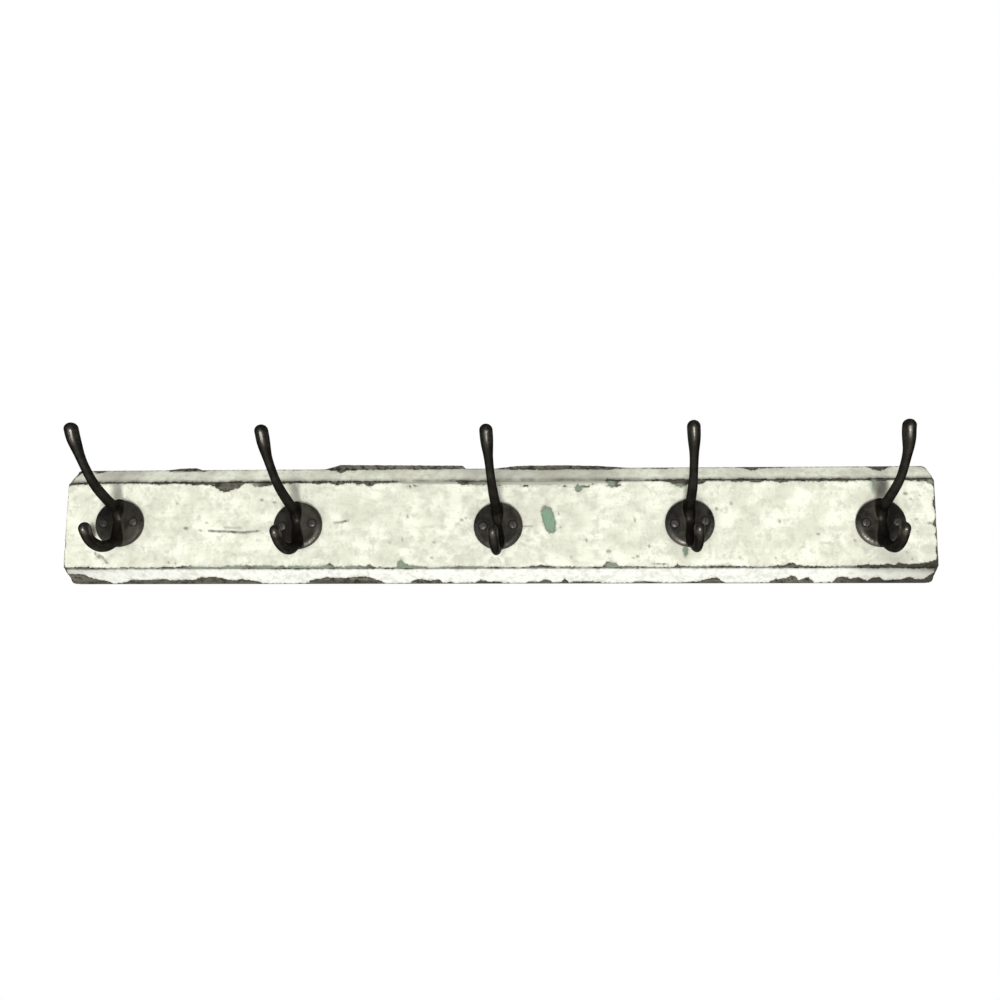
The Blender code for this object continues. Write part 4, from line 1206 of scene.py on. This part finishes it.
def make_hook_screws(surface):
    points, faces, marks = hook_screw_shape()
    for number in range(1, HOOK_COUNT + 1):
        place = hook_place(number)
        for side, word, angle in zip((-1, 1), ("left", "right"), SLOT_ANGLES[number - 1]):
            seat = Matrix.Translation((side * SCREW_OFFSET, -SPOT_LEVEL - PLATE_GAP, 0))
            turn = Matrix.Rotation(radians(angle), 4, "Y")
            shape = placed(points, place @ seat @ turn)
            screw = mesh_object(f"round_head_screw_{number}_{word}", shape, faces, marks)
            finish_piece(screw, surface, f"hook_{number}_screw_{word}")


def hanger_shape(half_x, half_z, thickness):
    """A keyhole plate about its own centre, its outer face at y = 0."""
    step = 0.25
    low = (-half_x - 0.8, -thickness - 0.8, -half_z - 0.8)
    x, y, z = grid(low, (half_x + 0.8, 0.8, half_z + 0.8), step)
    body = slab(outline_field(rounded_box(0, 0, half_x, half_z, HANGER_CORNER), x, z), -thickness, 0, y)
    entry = np.hypot(x, z - KEY_ENTRY[1]) - KEY_ENTRY[0]
    slot = np.hypot(x, z - np.clip(z, KEY_SLOT[1], KEY_SLOT[2])) - KEY_SLOT[0]
    body = carved(body, np.minimum(entry, slot) + 0 * y, 0.35)
    for side in (-1, 1):
        cone = (np.hypot(x, z - side * HANGER_SCREW_Z) - COUNTERSINK_RADIUS - y) * 0.707
        body = carved(body, cone, 0.2)
    return net_of(body, low, step, 3)


def hanger_screw_shape():
    """A countersunk wood screw along -y: its flat head just under y = 0."""
    low, high = box_mm("hanger_left_screw_upper")
    face, point = high[1] - FLUSH_GAP, low[1]
    step = 0.2
    corner = (-3.9, point - 0.6, -3.9)
    x, y, z = grid(corner, (3.9, 0.6, 3.9), step)
    away = np.hypot(x, z)
    head = np.maximum((away - HANGER_SCREW_HEAD - (y - face)) * 0.707, y - face)
    taper = np.clip((y - point) / 3.0, 0.02, 1) * HANGER_SCREW_SHANK
    shank = np.maximum((away - taper) * 0.9, np.maximum(point - y, y - face))
    head = np.maximum(head, face - HANGER_SCREW_HEAD - y)
    width, depth = HANGER_SLOT
    slot = np.maximum(np.abs(z) - width / 2, face - depth - y) + 0 * x
    return net_of(carved(blended(head, shank, 0.3), slot, 0.2), corner, step, 3)


def make_hangers(plate_surface, screw_surface):
    screw_points, screw_faces = hanger_screw_shape()
    for word in ("left", "right"):
        low, high = box_mm(f"hanger_plate_{word}")
        wide, thick, tall = high - low
        points, faces = hanger_shape(wide / 2, tall / 2, thick)
        place = (low[0] + wide / 2, high[1] - FLUSH_GAP, low[2] + tall / 2)
        plate = mesh_object(f"keyhole_plate_{word}", points + place, faces)
        plate.data.set_sharp_from_angle(angle=radians(50))
        finish_piece(plate, plate_surface, f"hanger_plate_{word}")
        for level, angle in HANGER_ANGLES.items():
            cx, _, cz = centre_mm(f"hanger_{word}_screw_{level}")
            place = Matrix.Translation((cx, 0, cz)) @ Matrix.Rotation(radians(angle), 4, "Y")
            shape = placed(screw_points, place)
            screw = mesh_object(f"countersunk_screw_{word}_{level}", shape, screw_faces)
            screw.data.set_sharp_from_angle(angle=radians(50))
            finish_piece(screw, screw_surface, f"hanger_{word}_screw_{level}")


def finish_piece(piece, surface, node):
    """Gives a piece its surface, ties it to the body and hides the CAD node that it stands for."""
    piece.data.materials.clear()
    piece.data.materials.append(surface)
    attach(piece, "root")
    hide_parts(node)


# ---- studio

# Places and sizes of the studio are in metres.
CAMERA_PLACE = (0.0815, -0.8139, -0.074)
CAMERA_TURN, CAMERA_TILT, CAMERA_ROLL = radians(1.73), radians(6.49), radians(-0.05)
CAMERA_LENS, CAMERA_SHIFT = 28.73, (-0.052, 0.008)
FLOOR_LEVEL = -1.5
FLOOR_RADIUS = 2.0
KEY_PLACE = (0.06, -2.05, -1.1)
KEY_SIZE = (0.4, 0.32)
KEY_POWER = 40.0
ROOM_LIGHT = (0.12, 1.15)
FRONT_GLOW = (0.05, -0.96, -0.24)
ROOM_GLOSS = ((0.0, 0.22), (0.22, 0.04), (0.74, 0.04), (0.89, 0.22), (0.98, 0.9))


def make_camera():
    camera = bpy.data.objects.new("camera", bpy.data.cameras.new("camera"))
    bpy.context.scene.collection.objects.link(camera)
    camera.data.lens = CAMERA_LENS
    camera.data.shift_x, camera.data.shift_y = CAMERA_SHIFT
    camera.location = CAMERA_PLACE
    turn = Euler((0, 0, CAMERA_TURN)).to_matrix()
    tilt = Euler((pi / 2 + CAMERA_TILT, 0, 0)).to_matrix()
    roll = Euler((0, 0, CAMERA_ROLL)).to_matrix()
    camera.rotation_euler = (turn @ tilt @ roll).to_euler()
    bpy.context.scene.camera = camera


def make_floor():
    """A round pale floor a wall's height below the rack."""
    sides = 64
    rims = circle(0, 0, FLOOR_RADIUS / 2, sides) + circle(0, 0, FLOOR_RADIUS, sides)
    faces = [(i, sides + i, sides + (i + 1) % sides, (i + 1) % sides) for i in range(sides)]
    points = np.array([(x, y, FLOOR_LEVEL) for x, y in rims]) / MM
    floor = mesh_object("floor", points, [tuple(range(sides))] + faces)
    floor.data.materials.append(floor_surface())


def make_light():
    """White room light from all sides, darker in reflections, and one soft light from the front
    and below."""
    world = bpy.data.worlds.new("white_room")
    bpy.context.scene.world = world
    n = Nodes(world)
    direction = n.add("TexCoord", {}, "Generated")
    below, above = ROOM_LIGHT
    inputs = {"Value": n.add("SeparateXYZ", {0: direction}, "Z"), "From Min": -1.0}
    strength = n.add("MapRange", {**inputs, "To Min": below, "To Max": above}, "Result")
    inputs = {0: direction, 1: Vector(FRONT_GLOW).normalized()}
    facing = n.add("VectorMath", inputs, "Value", operation="DOT_PRODUCT")
    turned = n.add("MapRange", {"Value": facing, "From Min": -1.0}, "Result")
    greys = [(place, (level, level, level)) for place, level in ROOM_GLOSS]
    room = n.add("Background", {"Color": (1.0, 1.0, 0.99), "Strength": strength})
    gloss = n.add("Background", {"Color": n.ramp(turned, *greys)})
    seen = n.add("Background", {"Color": (1.0, 1.0, 1.0)})
    light = n.add("MixShader", {0: n.add("LightPath", {}, "Is Glossy Ray"), 1: room, 2: gloss})
    light = n.add("MixShader", {0: n.add("LightPath", {}, "Is Camera Ray"), 1: light, 2: seen})
    n.put(n.tree.nodes["World Output"].inputs["Surface"], light)

    lamp = bpy.data.lights.new("key", "AREA")
    lamp.shape = "RECTANGLE"
    lamp.size, lamp.size_y = KEY_SIZE
    lamp.energy = KEY_POWER
    key = bpy.data.objects.new("key", lamp)
    key.location = KEY_PLACE
    key.rotation_euler = (-Vector(KEY_PLACE)).to_track_quat("-Z", "Y").to_euler()
    key.visible_camera = False
    bpy.context.scene.collection.objects.link(key)


def main():
    view = bpy.context.scene.view_settings
    view.view_transform = "Standard"
    view.look = "None"
    make_camera()
    make_light()
    make_floor()
    make_plank(painted_wood())
    make_hooks(black_iron())
    make_hook_screws(browned_steel())
    make_hangers(zinc("zinc_plate", 0.34), zinc("zinc_screw", 0.28))


main()
